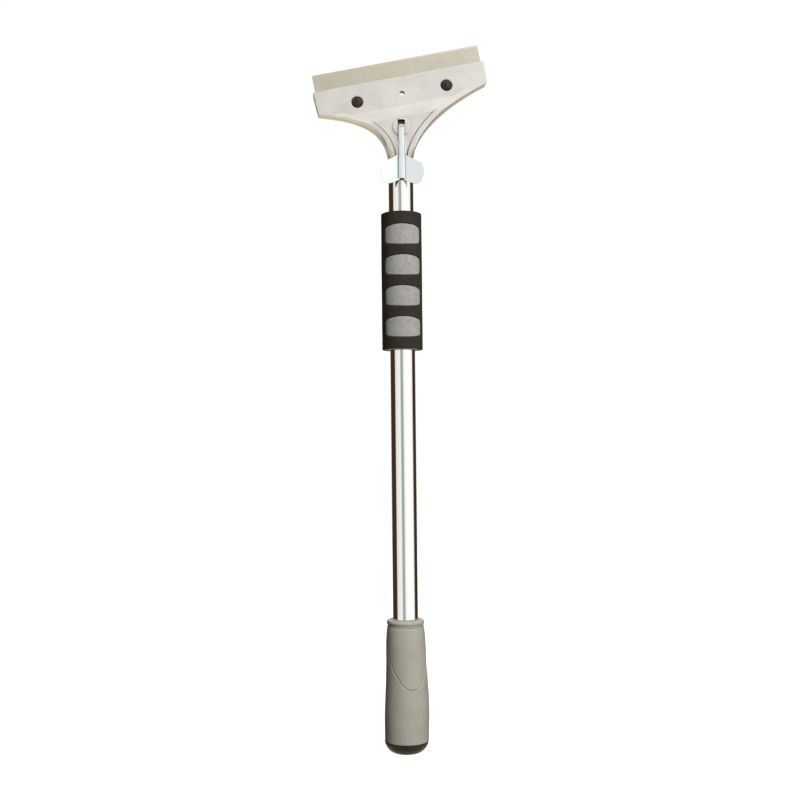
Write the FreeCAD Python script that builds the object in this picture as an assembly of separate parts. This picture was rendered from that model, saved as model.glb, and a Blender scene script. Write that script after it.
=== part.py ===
import FreeCAD, Part
import math
import os
from FreeCAD import Vector

# Long-handled window scraper with a clamped blade. Sizes in mm, angles in degrees.
# Z runs up the handle from the end cap, -Y is the front (lever side), X is to the right.

# ---- fits and gaps ---------------------------------------------------------------------
SEAT_GAP = 0.02        # radial gap of pieces that are fixed to each other
RUN_GAP = 0.05         # radial gap of a pin or bolt that slides or turns
HOLE_GAP = 0.20        # radial gap round the draw bolt in the rear jaw and washer
FREE_GAP = 0.40        # gap between moving pieces that must not touch
INLAY_GAP = 0.20       # visible line around an inlaid panel or window
OVERLAP = 1.0          # how far shapes run into each other before they are fused
WIDE = 120.0           # reaches past the head in every direction

# ---- tube ------------------------------------------------------------------------------
TUBE_R = 11.0
TUBE_WALL = 1.0
TUBE_BOTTOM = 18.0
TUBE_LENGTH = 500.0
TUBE_TOP = TUBE_BOTTOM + TUBE_LENGTH

# ---- foam hand grip --------------------------------------------------------------------
FOAM_LENGTH = 119.8
FOAM_TOP = TUBE_TOP - 49.3
FOAM_BOTTOM = FOAM_TOP - FOAM_LENGTH
FOAM_R = TUBE_R + 6.8
FOAM_SKIN = 1.7
FOAM_EDGE = 0.6
CORE_SHORT = 0.3       # the core ends this much inside the skin
WINDOW_COUNT = 4
WINDOW_PITCH = FOAM_LENGTH * 0.2245
WINDOW_LOW = 0.6       # the column of windows sits this much below the middle
WINDOW_HEIGHT = WINDOW_PITCH * 0.669
WINDOW_HALF = FOAM_R * 0.848            # half width of a window, seen square on
WINDOW_CROWN = WINDOW_HEIGHT * 0.178    # how far its top edge arches up
WINDOW_SAG = 1.4       # how far its bottom edge bows down
WINDOW_CORNER = 2.4
# the arched top edge, as shares of the half width and of the crown above the shoulder
CROWN_SHAPE = ((1.0, -0.44), (0.72, 0.625))

# ---- end grip --------------------------------------------------------------------------
CAP_HEIGHT = 10.4
CAP_R = TUBE_R + 8.05
CAP_FLAT_R = 7.0
CAP_BULGE = (0.71, 0.32)    # a point of the dome, as shares of its width and height
PLUG_TOP = CAP_HEIGHT + 23.6
PLUG_WALL = 2.0
PLUG_CHAMFER = 1.0
GRIP_LENGTH = 104.1
BEAD_TOP = CAP_HEIGHT + GRIP_LENGTH
BEAD_R = TUBE_R + 5.4
# the bead's outline from its groove up: in from its radius, down from its top
BEAD_SHAPE = ((1.0, 5.8), (0.7, 5.2), (0.2, 4.6), (0.0, 2.6), (0.3, 1.2), (1.4, 0.0))
CORE_R = TUBE_R + 2.6
CORE_TOP = BEAD_TOP - 3.5
# share of the grip's length, thickness over the tube and sideways shift, from bottom to top
SLEEVE_SECTIONS = (
    (0.0, 8.05, 0.2),
    (0.0955, 8.2, 0.3),
    (0.2197, 8.4, 0.5),
    (0.3438, 8.0, 0.7),
    (0.4967, 7.2, 0.6),
    (0.6304, 6.5, 0.3),
    (0.7832, 6.25, 0.1),
    (0.8930, 5.6, 0.0),
    (0.9513, 4.8, 0.0),
)
PANEL_TURN = 11.5      # the thumb panel sits a little to the right of the front
PANEL_DEPTH = 1.4
PANEL_TOP = BEAD_TOP - 6.0
PANEL_TIP = PANEL_TOP - GRIP_LENGTH * 0.5005
PANEL_HALF = TUBE_R + 6.6
# left half of the tongue, as shares of its half width and height
PANEL_SHAPE = ((1.0, 0.76), (0.975, 0.57), (0.91, 0.43), (0.745, 0.26), (0.48, 0.10), (0.24, 0.022))
PLAN_START = 2.5       # flat plans of windows and panel start this far off the axis
PLAN_REACH = 40.0

# ---- blade -----------------------------------------------------------------------------
BLADE_LENGTH = 150.0
BLADE_SHIFT = 0.6
BLADE_THICK = 0.9
BLADE_EDGE = 31.9      # cutting edge above the stud line
BLADE_BACK = 4.0       # back edge below the stud line
BLADE_BEVEL = 1.6
BLADE_LAND = 0.12

# ---- head: the blade line is turned in the plane of the head ------------------------------
HEAD_TURN = 11.4
HEAD_X = 1.5
HEAD_Z = TUBE_TOP + 56.9                # midway between the two studs
PLATE_HALF_TOP = BLADE_LENGTH / 2 + 2.0
PLATE_HALF_LOW = PLATE_HALF_TOP - 1.0
PLATE_ABOVE = 15.5     # plate edge above the stud line
PLATE_BELOW = 4.6
JAW_GAP = BLADE_THICK / 2 + 0.05        # inner faces of the jaws, from the blade's mid plane
SHELL_FACE = JAW_GAP + 6.0              # outer faces of the two jaws
RIB_FACE = TUBE_R + 0.6
RIB_WIDTH = 5.5
RIB_ROUNDING = 1.5     # edge radius on the front of the ribs
RIB_LEAD = 2.0         # how much sooner the ribs start than the web, per height between them
WEB_FACE = RIB_FACE - 1.4
RAMP_START = 10.6      # below the stud line
RAMP_END = 21.4
SHOULDER_SLOPE = 16.0
SHOULDER_REACH = BLADE_LENGTH * 0.28
NECK_REACH = 23.0
NECK_FOOT = TUBE_TOP + 1.0              # edges that end below here stay sharp
NECK_LEAN = 0.12       # sideways per length where the flank leaves the neck
NECK_FLARE = 0.6       # growth of the cone that the ribs run out in, per height
CORNER_R = 1.6
EDGE_R = 0.8
GROOVE_R = 0.6
NECK_CONE_START = TUBE_TOP + 12.0
NECK_CONE_END = TUBE_TOP + 30.0
JAW_SPLIT = TUBE_TOP + 17.0             # the rear jaw ends here, above the neck
SPIGOT_LENGTH = 24.0
SPIGOT_CHAMFER = 1.0
SIGHT_R = 2.2
SIGHT_RELIEF = 1.2     # the hole grows by this much behind the front jaw
SIGHT_RISE = 1.6       # and its slot in the blade ends this much higher
LEDGE_HALF = BLADE_LENGTH * 0.32        # the ledge that the blade's back edge rests on
LEDGE_HEIGHT = 3.0
LEDGE_GAP = 0.15
HOLLOW_RIM = 4.0       # rim left round the sunk back of the rear jaw
HOLLOW_DEPTH = 2.6
HOLLOW_ABOVE = 12.0    # the sunk back starts this far above the pivot

# ---- studs -----------------------------------------------------------------------------
STUD_HALF = BLADE_LENGTH * 0.26833
STUD_R = 4.4
STUD_FLANGE_R = STUD_R + 1.8
STUD_FLANGE_T = 2.0
STUD_BOSS_WALL = 2.0
STUD_PROUD = 0.9
STUD_DOME = 1.6
STUD_RING = 0.8        # depth of the coned edge round each stud's hole

# ---- clamp -----------------------------------------------------------------------------
PIVOT_Z = TUBE_TOP + 25.8
BOSS_R = 7.6
BOSS_FACE = RIB_FACE + 1.4
PIVOT_Y = -(BOSS_FACE - 0.8)
CAM_CLOSED = 3.8       # cam radius with the lever down
CAM_STEP = 7.5         # degrees between the points of the cam's rim
CAM_FROM, CAM_TO = -45.0, 180.0
CLAMP_TRAVEL = 1.6
LEVER_SWING = 100.0
LEVER_HALF = 2.75
LEVER_SHEET = 1.1
POCKET_HALF = LEVER_HALF + FREE_GAP
POCKET_ABOVE = 6.0
POCKET_BELOW = 4.6
POCKET_FLOOR = -PIVOT_Y - CAM_CLOSED - FREE_GAP
BOLT_R = 2.4
BOLT_CHAMFER = 0.4
EYE_R = BOLT_R - 0.1
EYE_HALF = LEVER_HALF - LEVER_SHEET - 0.2
PIN_R = 1.2
WASHER_R = BOLT_R + 3.6
WASHER_T = 1.2
NUT_FLATS = 2 * BOLT_R + 3.2
NUT_T = 4.0
NUT_CHAMFER = 1.2
BOLT_STANDS_OUT = 1.4
SPRING_WIRE_R = 0.45
SPRING_COIL_R = BOLT_R + SPRING_WIRE_R + 0.65
SPRING_TURNS = 4.0
SPRING_STEPS = 12      # sections per turn
SPRING_SIDES = 8       # sides of the wire
SPRING_POCKET_R = SPRING_COIL_R + SPRING_WIRE_R + 0.65
SPRING_POCKET = 3.2
SPRING_END_GAP = 0.05

# ---- lever -----------------------------------------------------------------------------
LEVER_BACK = -(RIB_FACE + FREE_GAP)
LEVER_CREST = LEVER_BACK - 4.5
LEVER_END = PIVOT_Z - 46.3
CREST_TOP = PIVOT_Z - 1.2
CREST_ROUNDING = 1.3   # edge radius as a share of the sheet
EAR_FRONT = (1.5, 1.7)      # corner of the ears, in front of and above the pivot
EAR_BACK = 3.0              # foot of the ears' back edge, below the pivot
CAM_HUB = (0.8, 3.6)        # where the cam's rim is closed, in front of and below the pivot
WING_TILT = 20.0
WING_SHEET = 1.2
WING_CORNER = 5.5
# outline of one wing: distance from the axis and height above the pivot
WING_OUTLINE = ((1.9, -24.6), (17.2, -33.8), (19.4, -40.8), (16.4, -51.2), (11.0, -51.2), (1.9, -47.2))

# ---- rivet behind the neck -------------------------------------------------------------
RIVET_Z = TUBE_TOP - 12.0
RIVET_R = 1.6
RIVET_HEAD_R = 3.2
RIVET_HEAD_T = 1.2
RIVET_DEPTH = 6.0
RIVET_SHORT = 0.5      # the hole is this much deeper than the rivet

FRONT = Vector(0, -1, 0)
BACK = Vector(0, 1, 0)
UP = Vector(0, 0, 1)


def save(shape, node):
    """Write one finished piece to its own file."""
    shape.exportStep("parts/%s.step" % node)


def merge(pieces):
    """Fuse a list of solids into one and drop the seams."""
    return pieces[0].multiFuse(pieces[1:]).removeSplitter()


def rod(radius, y_from, y_to, x=0.0, z=0.0):
    """A round bar along Y between two depths."""
    low, high = min(y_from, y_to), max(y_from, y_to)
    return Part.makeCylinder(radius, high - low, Vector(x, low, z), BACK)


def block(x0, x1, y0, y1, z0, z1):
    """A box given by its corner values."""
    return Part.makeBox(x1 - x0, y1 - y0, z1 - z0, Vector(x0, y0, z0))


def prism(points, y_from, y_to):
    """A straight-sided outline in the X-Z plane, given depth along Y."""
    corners = [Vector(x, y_from, z) for x, z in points]
    face = Part.Face(Part.makePolygon(corners + corners[:1]))
    return face.extrude(Vector(0, y_to - y_from, 0))


def side_prism(points, x_from, x_to):
    """An outline in the Y-Z plane, given width along X."""
    corners = [Vector(x_from, y, z) for y, z in points]
    face = Part.Face(Part.makePolygon(corners + corners[:1]))
    return face.extrude(Vector(x_to - x_from, 0, 0))


def turned(profile):
    """A solid of revolution about the handle axis from radius-height pairs."""
    corners = [Vector(r, 0, z) for r, z in profile]
    face = Part.Face(Part.makePolygon(corners + corners[:1]))
    return face.revolve(Vector(0, 0, 0), UP, 360)


def sleeve(inner, outer, z0, z1):
    """A plain tube about the handle axis."""
    whole = Part.makeCylinder(outer, z1 - z0, Vector(0, 0, z0))
    return whole.cut(Part.makeCylinder(inner, z1 - z0 + 2, Vector(0, 0, z0 - 1)))


def on_head(shape):
    """Move a shape from the blade's own frame (stud line along X) into place."""
    moved = shape.copy()
    moved.rotate(Vector(0, 0, 0), BACK, -HEAD_TURN)
    moved.translate(Vector(HEAD_X, 0, HEAD_Z))
    return moved


def head_point(along, above):
    """The X and Z of a point given along and above the stud line."""
    turn = math.radians(HEAD_TURN)
    x = HEAD_X + along * math.cos(turn) - above * math.sin(turn)
    z = HEAD_Z + along * math.sin(turn) + above * math.cos(turn)
    return Vector(x, 0, z)


# ---- head outline -------------------------------------------------------------------------
def flank(side, inset):
    """One curved side of the head from plate corner to neck, moved inwards by inset.

    side is -1 for the left and +1 for the right.
    """
    slope = math.radians(HEAD_TURN + side * SHOULDER_SLOPE)
    along = Vector(-side * math.cos(slope), 0, -side * math.sin(slope))
    inward = Vector(-along.z, 0, along.x) * (-side)
    corner = head_point(side * PLATE_HALF_LOW, -PLATE_BELOW) + inward * inset
    neck = Vector(side * (TUBE_R - inset), 0, TUBE_TOP)
    lean = Vector(side * NECK_LEAN, 0, 1) * NECK_REACH
    curve = Part.BezierCurve()
    curve.setPoles([corner, corner + along * SHOULDER_REACH, neck + lean, neck])
    return curve.toShape()


def outline_face(inset, with_plate):
    """The head outline as a face in the blade's mid plane.

    with_plate adds the straight band above the shoulders; without it the face is closed
    straight across from corner to corner.
    """
    left, right = flank(-1, inset), flank(1, inset)
    left_corner, left_neck = left.Vertexes[0].Point, left.Vertexes[-1].Point
    right_corner, right_neck = right.Vertexes[0].Point, right.Vertexes[-1].Point
    edges = [left, Part.makeLine(left_neck, right_neck), right]
    if with_plate:
        top_right = head_point(PLATE_HALF_TOP, PLATE_ABOVE)
        top_left = head_point(-PLATE_HALF_TOP, PLATE_ABOVE)
        edges += [Part.makeLine(right_corner, top_right), Part.makeLine(top_right, top_left),
                  Part.makeLine(top_left, left_corner)]
    else:
        edges.append(Part.makeLine(right_corner, left_corner))
    return Part.Face(Part.Wire(Part.__sortEdges__(edges)))


def slab(face, y_from, y_to):
    """A face from the mid plane given depth between two Y values."""
    base = face.copy()
    base.translate(Vector(0, y_from, 0))
    return base.extrude(Vector(0, y_to - y_from, 0))


def round_corners(shape, radius):
    """Round the four plate corners, whose edges run along Y."""
    spots = [head_point(s * PLATE_HALF_TOP, PLATE_ABOVE) for s in (-1, 1)]
    spots += [head_point(s * PLATE_HALF_LOW, -PLATE_BELOW) for s in (-1, 1)]
    edges = []
    for edge in shape.Edges:
        middle = edge.BoundBox.Center
        near = any(abs(middle.x - spot.x) < 0.2 and abs(middle.z - spot.z) < 0.2 for spot in spots)
        if near and edge.BoundBox.YLength > 1:
            edges.append(edge)
    return shape.makeFillet(radius, edges)


def in_level(edge, level):
    """Whether an edge lies wholly in the plane Y = level."""
    box = edge.BoundBox
    return abs(box.YMin - level) < 1e-4 and abs(box.YMax - level) < 1e-4


def soften(shape, level, radius, above=0.0):
    """Round every edge that lies wholly in the plane Y = level and reaches higher than above."""
    edges = [e for e in shape.Edges if in_level(e, level) and e.BoundBox.ZMax > above]
    return shape.makeFillet(radius, edges)


def in_front(level, lead):
    """All that stands in front of the band and of a ramp that falls to a level.

    lead moves the foot of the ramp towards the blade.
    """
    slope = (WEB_FACE - SHELL_FACE) / (RAMP_END - RAMP_START)
    start = lead - RAMP_START
    end = start - (level - SHELL_FACE) / slope
    points = [(-SHELL_FACE, WIDE), (-SHELL_FACE, start), (-level, end), (-level, -2 * WIDE),
              (-WIDE, -2 * WIDE), (-WIDE, WIDE)]
    return on_head(side_prism(points, -WIDE, WIDE))


def groove(side):
    """The cutter for the line between rib and web."""
    path = flank(side, RIB_WIDTH + GROOVE_R)
    path.translate(Vector(0, -WEB_FACE, 0))
    start = path.valueAt(path.FirstParameter)
    ring = Part.makeCircle(GROOVE_R, start, path.tangentAt(path.FirstParameter))
    return Part.Wire([path]).makePipeShell([Part.Wire([ring])], True, True)


def neck():
    """The round neck and the spigot that goes into the tube."""
    inner = TUBE_R - TUBE_WALL - SEAT_GAP
    bottom = TUBE_TOP - SPIGOT_LENGTH
    return turned([(0, bottom), (inner - SPIGOT_CHAMFER, bottom), (inner, bottom + SPIGOT_CHAMFER),
                   (inner, TUBE_TOP), (TUBE_R, TUBE_TOP), (TUBE_R, NECK_CONE_START),
                   (SHELL_FACE - OVERLAP, NECK_CONE_END), (0, NECK_CONE_END)])


def neck_trim():
    """All that lies outside a cone opening upwards from the tube, so that the ribs run out."""
    height = 2 * TUBE_R
    foot = Vector(0, 0, TUBE_TOP)
    cone = Part.makeCone(RIB_FACE, RIB_FACE + height * NECK_FLARE, height, foot)
    return Part.makeCylinder(WIDE, height, foot).cut(cone)


def make_casting():
    """The solid of the head: a thin band above, and below it ribs round a sunk web."""
    face = outline_face(0.0, True)
    band = round_corners(slab(face, SHELL_FACE, -SHELL_FACE), CORNER_R)
    band = soften(soften(band, -SHELL_FACE, EDGE_R, NECK_FOOT), SHELL_FACE, EDGE_R, NECK_FOOT)
    deep = round_corners(slab(face, SHELL_FACE, -RIB_FACE), CORNER_R)
    deep = soften(soften(deep, -RIB_FACE, RIB_ROUNDING, NECK_FOOT), SHELL_FACE, EDGE_R, NECK_FOOT)
    lead = (RIB_FACE - WEB_FACE) * RIB_LEAD
    split = on_head(block(-WIDE, WIDE, -WIDE, WIDE, lead - RAMP_START, 2 * WIDE))
    web = slab(outline_face(RIB_WIDTH, False), -SHELL_FACE + OVERLAP, -WIDE).common(in_front(WEB_FACE, 0.0))
    deep = deep.cut(split).cut(in_front(RIB_FACE + EDGE_R, lead)).cut(web).cut(neck_trim())
    return deep.fuse(band.common(split))


def make_head_body():
    """The front casting: jaw, ribs, web, boss and neck in one piece."""
    behind = block(-WIDE, WIDE, -JAW_GAP, WIDE, JAW_SPLIT, JAW_SPLIT + WIDE)
    body = merge([make_casting(), neck()]).cut(behind)
    body = body.cut(groove(-1)).cut(groove(1)).fuse(make_boss())
    ledge = block(-LEDGE_HALF, LEDGE_HALF, -JAW_GAP - OVERLAP, JAW_GAP - LEDGE_GAP,
                  -BLADE_BACK - LEDGE_HEIGHT, -BLADE_BACK - LEDGE_GAP)
    body = body.fuse(on_head(ledge))
    tools = [block(-POCKET_HALF, POCKET_HALF, -BOSS_FACE - WIDE, -POCKET_FLOOR,
                   PIVOT_Z - POCKET_BELOW, PIVOT_Z + POCKET_ABOVE),
             rod(BOLT_R + RUN_GAP, -POCKET_FLOOR - 1, 1, 0, PIVOT_Z),
             rod(SPRING_POCKET_R, -JAW_GAP - SPRING_POCKET, 1, 0, PIVOT_Z),
             on_head(rod(SIGHT_R, -SHELL_FACE - 1, 1)),
             rod(RIVET_R + SEAT_GAP, TUBE_R, TUBE_R - TUBE_WALL - RIVET_DEPTH, 0, RIVET_Z)]
    for side in (-1, 1):
        hole = STUD_R + FREE_GAP
        tools.append(on_head(rod(hole, -SHELL_FACE - 1, 1, side * STUD_HALF)))
        edge = Vector(side * STUD_HALF, -SHELL_FACE + STUD_RING, 0)
        tools.append(on_head(Part.makeCone(hole, hole + 2 * STUD_RING, 2 * STUD_RING, edge, FRONT)))
    return body.cut(tools[0].multiFuse(tools[1:]))


def make_boss():
    """The round boss at the lever's pivot, open below for the lever."""
    boss = soften(rod(BOSS_R, -SHELL_FACE + OVERLAP, -BOSS_FACE, 0, PIVOT_Z), -BOSS_FACE, EDGE_R)
    low = PIVOT_Z - BOSS_R - 1
    return boss.cut(block(-POCKET_HALF, POCKET_HALF, -BOSS_FACE - 1, -WEB_FACE, low, PIVOT_Z))


def make_clamp_plate():
    """The rear jaw, a cast plate with a sunk back and raised bosses."""
    whole = slab(outline_face(0.0, True), JAW_GAP, SHELL_FACE)
    whole = soften(round_corners(whole, CORNER_R), SHELL_FACE, EDGE_R, NECK_FOOT)
    plate = whole.cut(block(-WIDE, WIDE, -1, WIDE, TUBE_TOP - 1, JAW_SPLIT + FREE_GAP))
    hollow = slab(outline_face(HOLLOW_RIM, False), SHELL_FACE - HOLLOW_DEPTH, SHELL_FACE + 1)
    hollow = hollow.cut(block(-WIDE, WIDE, -1, WIDE, TUBE_TOP - 1, PIVOT_Z + HOLLOW_ABOVE))
    plate = plate.cut(hollow)
    tools = [rod(BOLT_R + HOLE_GAP, 0, SHELL_FACE + 1, 0, PIVOT_Z),
             rod(SPRING_POCKET_R, 0, JAW_GAP + SPRING_POCKET, 0, PIVOT_Z),
             on_head(rod(SIGHT_R + 2 * SIGHT_RELIEF, -1, SHELL_FACE + 1, 0, SIGHT_R))]
    for side in (-1, 1):
        x = side * STUD_HALF
        plate = plate.fuse(on_head(rod(STUD_FLANGE_R + STUD_BOSS_WALL, JAW_GAP + 1, SHELL_FACE, x)))
        tools.append(on_head(rod(STUD_R + SEAT_GAP, 0, SHELL_FACE + 1, x)))
        tools.append(on_head(rod(STUD_FLANGE_R + SEAT_GAP, SHELL_FACE - STUD_FLANGE_T, SHELL_FACE + 1, x)))
    return plate.cut(tools[0].multiFuse(tools[1:]))


def make_stud(side):
    """A domed stud that the blade's notches sit over, fixed in the rear jaw."""
    front = -SHELL_FACE - STUD_PROUD
    dome = STUD_DOME
    seat = SHELL_FACE - STUD_FLANGE_T
    line = [Vector(0, SHELL_FACE, 0), Vector(STUD_FLANGE_R, SHELL_FACE, 0), Vector(STUD_FLANGE_R, seat, 0),
            Vector(STUD_R, seat, 0), Vector(STUD_R, front + dome, 0)]
    edges = [Part.makeLine(p, q) for p, q in zip(line[:-1], line[1:])]
    ball = (STUD_R ** 2 + dome ** 2) / (2 * dome)
    half_turn = math.asin(STUD_R / ball) / 2
    middle = Vector(ball * math.sin(half_turn), front + ball * (1 - math.cos(half_turn)), 0)
    edges.append(Part.Arc(line[-1], middle, Vector(0, front, 0)).toShape())
    edges.append(Part.makeLine(Vector(0, front, 0), line[0]))
    solid = Part.Face(Part.Wire(edges)).revolve(Vector(0, 0, 0), BACK, 360)
    solid.translate(Vector(side * STUD_HALF, 0, 0))
    return on_head(solid)


def make_blade():
    """The steel blade: ground edge at the top, open notches at the back."""
    half, land = BLADE_THICK / 2, BLADE_LAND / 2
    start = BLADE_EDGE - BLADE_BEVEL
    section = [(-half, -BLADE_BACK), (-half, start), (-land, BLADE_EDGE), (land, BLADE_EDGE),
               (half, start), (half, -BLADE_BACK)]
    blade = side_prism(section, BLADE_SHIFT - BLADE_LENGTH / 2, BLADE_SHIFT + BLADE_LENGTH / 2)
    notch = STUD_R + FREE_GAP + BLADE_SHIFT
    slots = ((-STUD_HALF, 0.0, notch), (STUD_HALF, 0.0, notch), (0.0, SIGHT_RISE, SIGHT_R + SIGHT_RELIEF))
    for x, z, r in slots:
        blade = blade.cut(rod(r, -2, 2, x, z)).cut(block(x - r, x + r, -2, 2, -BLADE_BACK - 2, z))
    return on_head(blade)


# ---- clamp pieces ---------------------------------------------------------------------------
def make_draw_bolt():
    """The eye bolt that the lever pulls on."""
    end = SHELL_FACE + WASHER_T + NUT_T + BOLT_STANDS_OUT
    eye = Part.makeCylinder(EYE_R, 2 * EYE_HALF, Vector(-EYE_HALF, PIVOT_Y, PIVOT_Z), Vector(1, 0, 0))
    start = -POCKET_FLOOR + FREE_GAP
    root = block(-EYE_HALF, EYE_HALF, PIVOT_Y, start + 2 * OVERLAP, PIVOT_Z - EYE_R, PIVOT_Z + EYE_R)
    shank = rod(BOLT_R, start, end, 0, PIVOT_Z)
    tip = shank.makeChamfer(BOLT_CHAMFER, [e for e in shank.Edges if in_level(e, end)])
    root = root.common(rod(BOLT_R, PIVOT_Y - 1, 0, 0, PIVOT_Z))
    bolt = merge([eye, root, tip])
    hole = Part.makeCylinder(PIN_R + SEAT_GAP, 20, Vector(-10, PIVOT_Y, PIVOT_Z), Vector(1, 0, 0))
    return bolt.cut(hole)


def make_washer():
    """The flat washer between nut and rear jaw."""
    ring = rod(WASHER_R, SHELL_FACE, SHELL_FACE + WASHER_T, 0, PIVOT_Z)
    return ring.cut(rod(BOLT_R + HOLE_GAP, 0, WIDE, 0, PIVOT_Z))


def make_nut():
    """A hexagon nut with its corners taken off at the back."""
    y0 = SHELL_FACE + WASHER_T
    reach = NUT_FLATS / 2 / math.cos(math.radians(30))
    corners = [(reach * math.cos(math.radians(60 * i)), PIVOT_Z + reach * math.sin(math.radians(60 * i)))
               for i in range(6)]
    straight = y0 + NUT_T - NUT_CHAMFER
    seat = Vector(0, straight, PIVOT_Z)
    dome = Part.makeCone(reach, NUT_FLATS / 2 - NUT_CHAMFER / 4, NUT_CHAMFER, seat, BACK)
    dome = dome.fuse(rod(reach + OVERLAP, y0 - 1, straight, 0, PIVOT_Z))
    nut = prism(corners, y0, y0 + NUT_T).common(dome)
    return nut.cut(rod(BOLT_R + SEAT_GAP, 0, WIDE, 0, PIVOT_Z))


def make_spring():
    """The spring that pushes the jaws apart when the lever is opened, lofted round its coil."""
    length = 2 * (JAW_GAP + SPRING_POCKET - SPRING_WIRE_R - SPRING_END_GAP)
    pitch = length / SPRING_TURNS
    sections = []
    for step in range(int(SPRING_TURNS * SPRING_STEPS) + 1):
        turn = 2 * math.pi * step / SPRING_STEPS
        outward = Vector(math.cos(turn), math.sin(turn), 0)
        along = Vector(-SPRING_COIL_R * outward.y, SPRING_COIL_R * outward.x, pitch / (2 * math.pi))
        across = along.cross(outward).normalize()
        centre = outward * SPRING_COIL_R + Vector(0, 0, pitch * step / SPRING_STEPS)
        rim = []
        for k in range(SPRING_SIDES):
            around = 2 * math.pi * k / SPRING_SIDES
            rim.append(centre + (outward * math.cos(around) + across * math.sin(around)) * SPRING_WIRE_R)
        sections.append(Part.makePolygon(rim + rim[:1]))
    coil = Part.makeLoft(sections, True, False)
    coil.rotate(Vector(0, 0, 0), Vector(1, 0, 0), -90)
    coil.translate(Vector(0, -length / 2, PIVOT_Z))
    return coil


def make_pin():
    """The pin through the lever's ears and the bolt's eye."""
    width = 2 * LEVER_HALF
    return Part.makeCylinder(PIN_R, width, Vector(-LEVER_HALF, PIVOT_Y, PIVOT_Z), Vector(1, 0, 0))


# ---- lever ----------------------------------------------------------------------------------
def cam_points():
    """The rim of the cam in steps, falling evenly as the lever swings open."""
    points = []
    for step in range(int(CAM_FROM / CAM_STEP), int(CAM_TO / CAM_STEP) + 1):
        angle = step * CAM_STEP
        lift = CLAMP_TRAVEL * min(max(angle, 0.0), LEVER_SWING) / LEVER_SWING
        radius = CAM_CLOSED - lift
        turn = math.radians(angle)
        points.append(Vector(0, PIVOT_Y + radius * math.cos(turn), PIVOT_Z + radius * math.sin(turn)))
    return points


def make_lever():
    """The pressed lever: a channel with two cam ears at the top and two wings below."""
    rim = Part.BSplineCurve()
    rim.interpolate(cam_points())
    first, last = rim.StartPoint, rim.EndPoint
    hub = Vector(0, PIVOT_Y - CAM_HUB[0], PIVOT_Z - CAM_HUB[1])
    cam = Part.Face(Part.Wire([rim.toShape(), Part.makeLine(last, hub), Part.makeLine(hub, first)]))
    cam.translate(Vector(-LEVER_HALF, 0, 0))
    cam = cam.extrude(Vector(2 * LEVER_HALF, 0, 0))
    arm = side_prism([(LEVER_BACK, LEVER_END), (LEVER_CREST, LEVER_END), (LEVER_CREST, CREST_TOP),
                      (PIVOT_Y - EAR_FRONT[0], PIVOT_Z + EAR_FRONT[1]), (PIVOT_Y, PIVOT_Z),
                      (LEVER_BACK, PIVOT_Z - EAR_BACK)], -LEVER_HALF, LEVER_HALF)
    crest = [e for e in arm.Edges if in_level(e, LEVER_CREST) and e.BoundBox.ZLength > LEVER_SHEET]
    arm = arm.makeFillet(LEVER_SHEET * CREST_ROUNDING, crest)
    lever = merge([arm, cam])
    inner = LEVER_HALF - LEVER_SHEET
    lever = lever.cut(block(-inner, inner, LEVER_CREST + LEVER_SHEET, 0, LEVER_END - 1, PIVOT_Z + WIDE))
    slot = CREST_TOP - LEVER_SHEET / 2
    lever = lever.cut(block(-inner, inner, LEVER_CREST - 1, 0, slot, PIVOT_Z + WIDE))
    for side in (-1, 1):
        lever = lever.fuse(wing(side))
    hole = Part.makeCylinder(PIN_R + RUN_GAP, 2 * WIDE, Vector(-WIDE, PIVOT_Y, PIVOT_Z), Vector(1, 0, 0))
    return lever.cut(hole).removeSplitter()


def wing(side):
    """One finger wing, bent forwards from the channel."""
    widest = max(x for x, _ in WING_OUTLINE)
    plan = prism([(side * x, PIVOT_Z + z) for x, z in WING_OUTLINE], -WIDE, 0.0)
    edges = [e for e in plan.Edges if e.BoundBox.YLength > 1 and abs(e.BoundBox.Center.x) > widest * 0.6]
    plan = plan.makeFillet(WING_CORNER, edges)
    ends = sorted((0.0, side * 2 * widest))
    sheet = block(ends[0], ends[1], -WING_SHEET, 0, LEVER_END - WIDE, LEVER_END + WIDE)
    sheet.rotate(Vector(0, 0, 0), UP, -side * WING_TILT)
    sheet.translate(Vector(side * (LEVER_HALF - LEVER_SHEET + 0.1), LEVER_BACK, 0))
    return plan.common(sheet)


# ---- handle pieces ----------------------------------------------------------------------------
def make_tube():
    """The handle tube with the rivet's hole in its back."""
    tube = sleeve(TUBE_R - TUBE_WALL, TUBE_R, TUBE_BOTTOM, TUBE_TOP)
    return tube.cut(rod(RIVET_R + SEAT_GAP, 0, 2 * TUBE_R, 0, RIVET_Z))


def make_rivet():
    """A blind rivet through the back of the tube into the spigot."""
    top = TUBE_R + RIVET_HEAD_T
    end = TUBE_R - TUBE_WALL - RIVET_DEPTH + RIVET_SHORT
    shank = rod(RIVET_R, end, TUBE_R + RIVET_HEAD_T / 3, 0, RIVET_Z)
    head = soften(rod(RIVET_HEAD_R, TUBE_R + SEAT_GAP, top, 0, RIVET_Z), top, RIVET_HEAD_T * 0.7)
    return head.fuse(shank)


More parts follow.
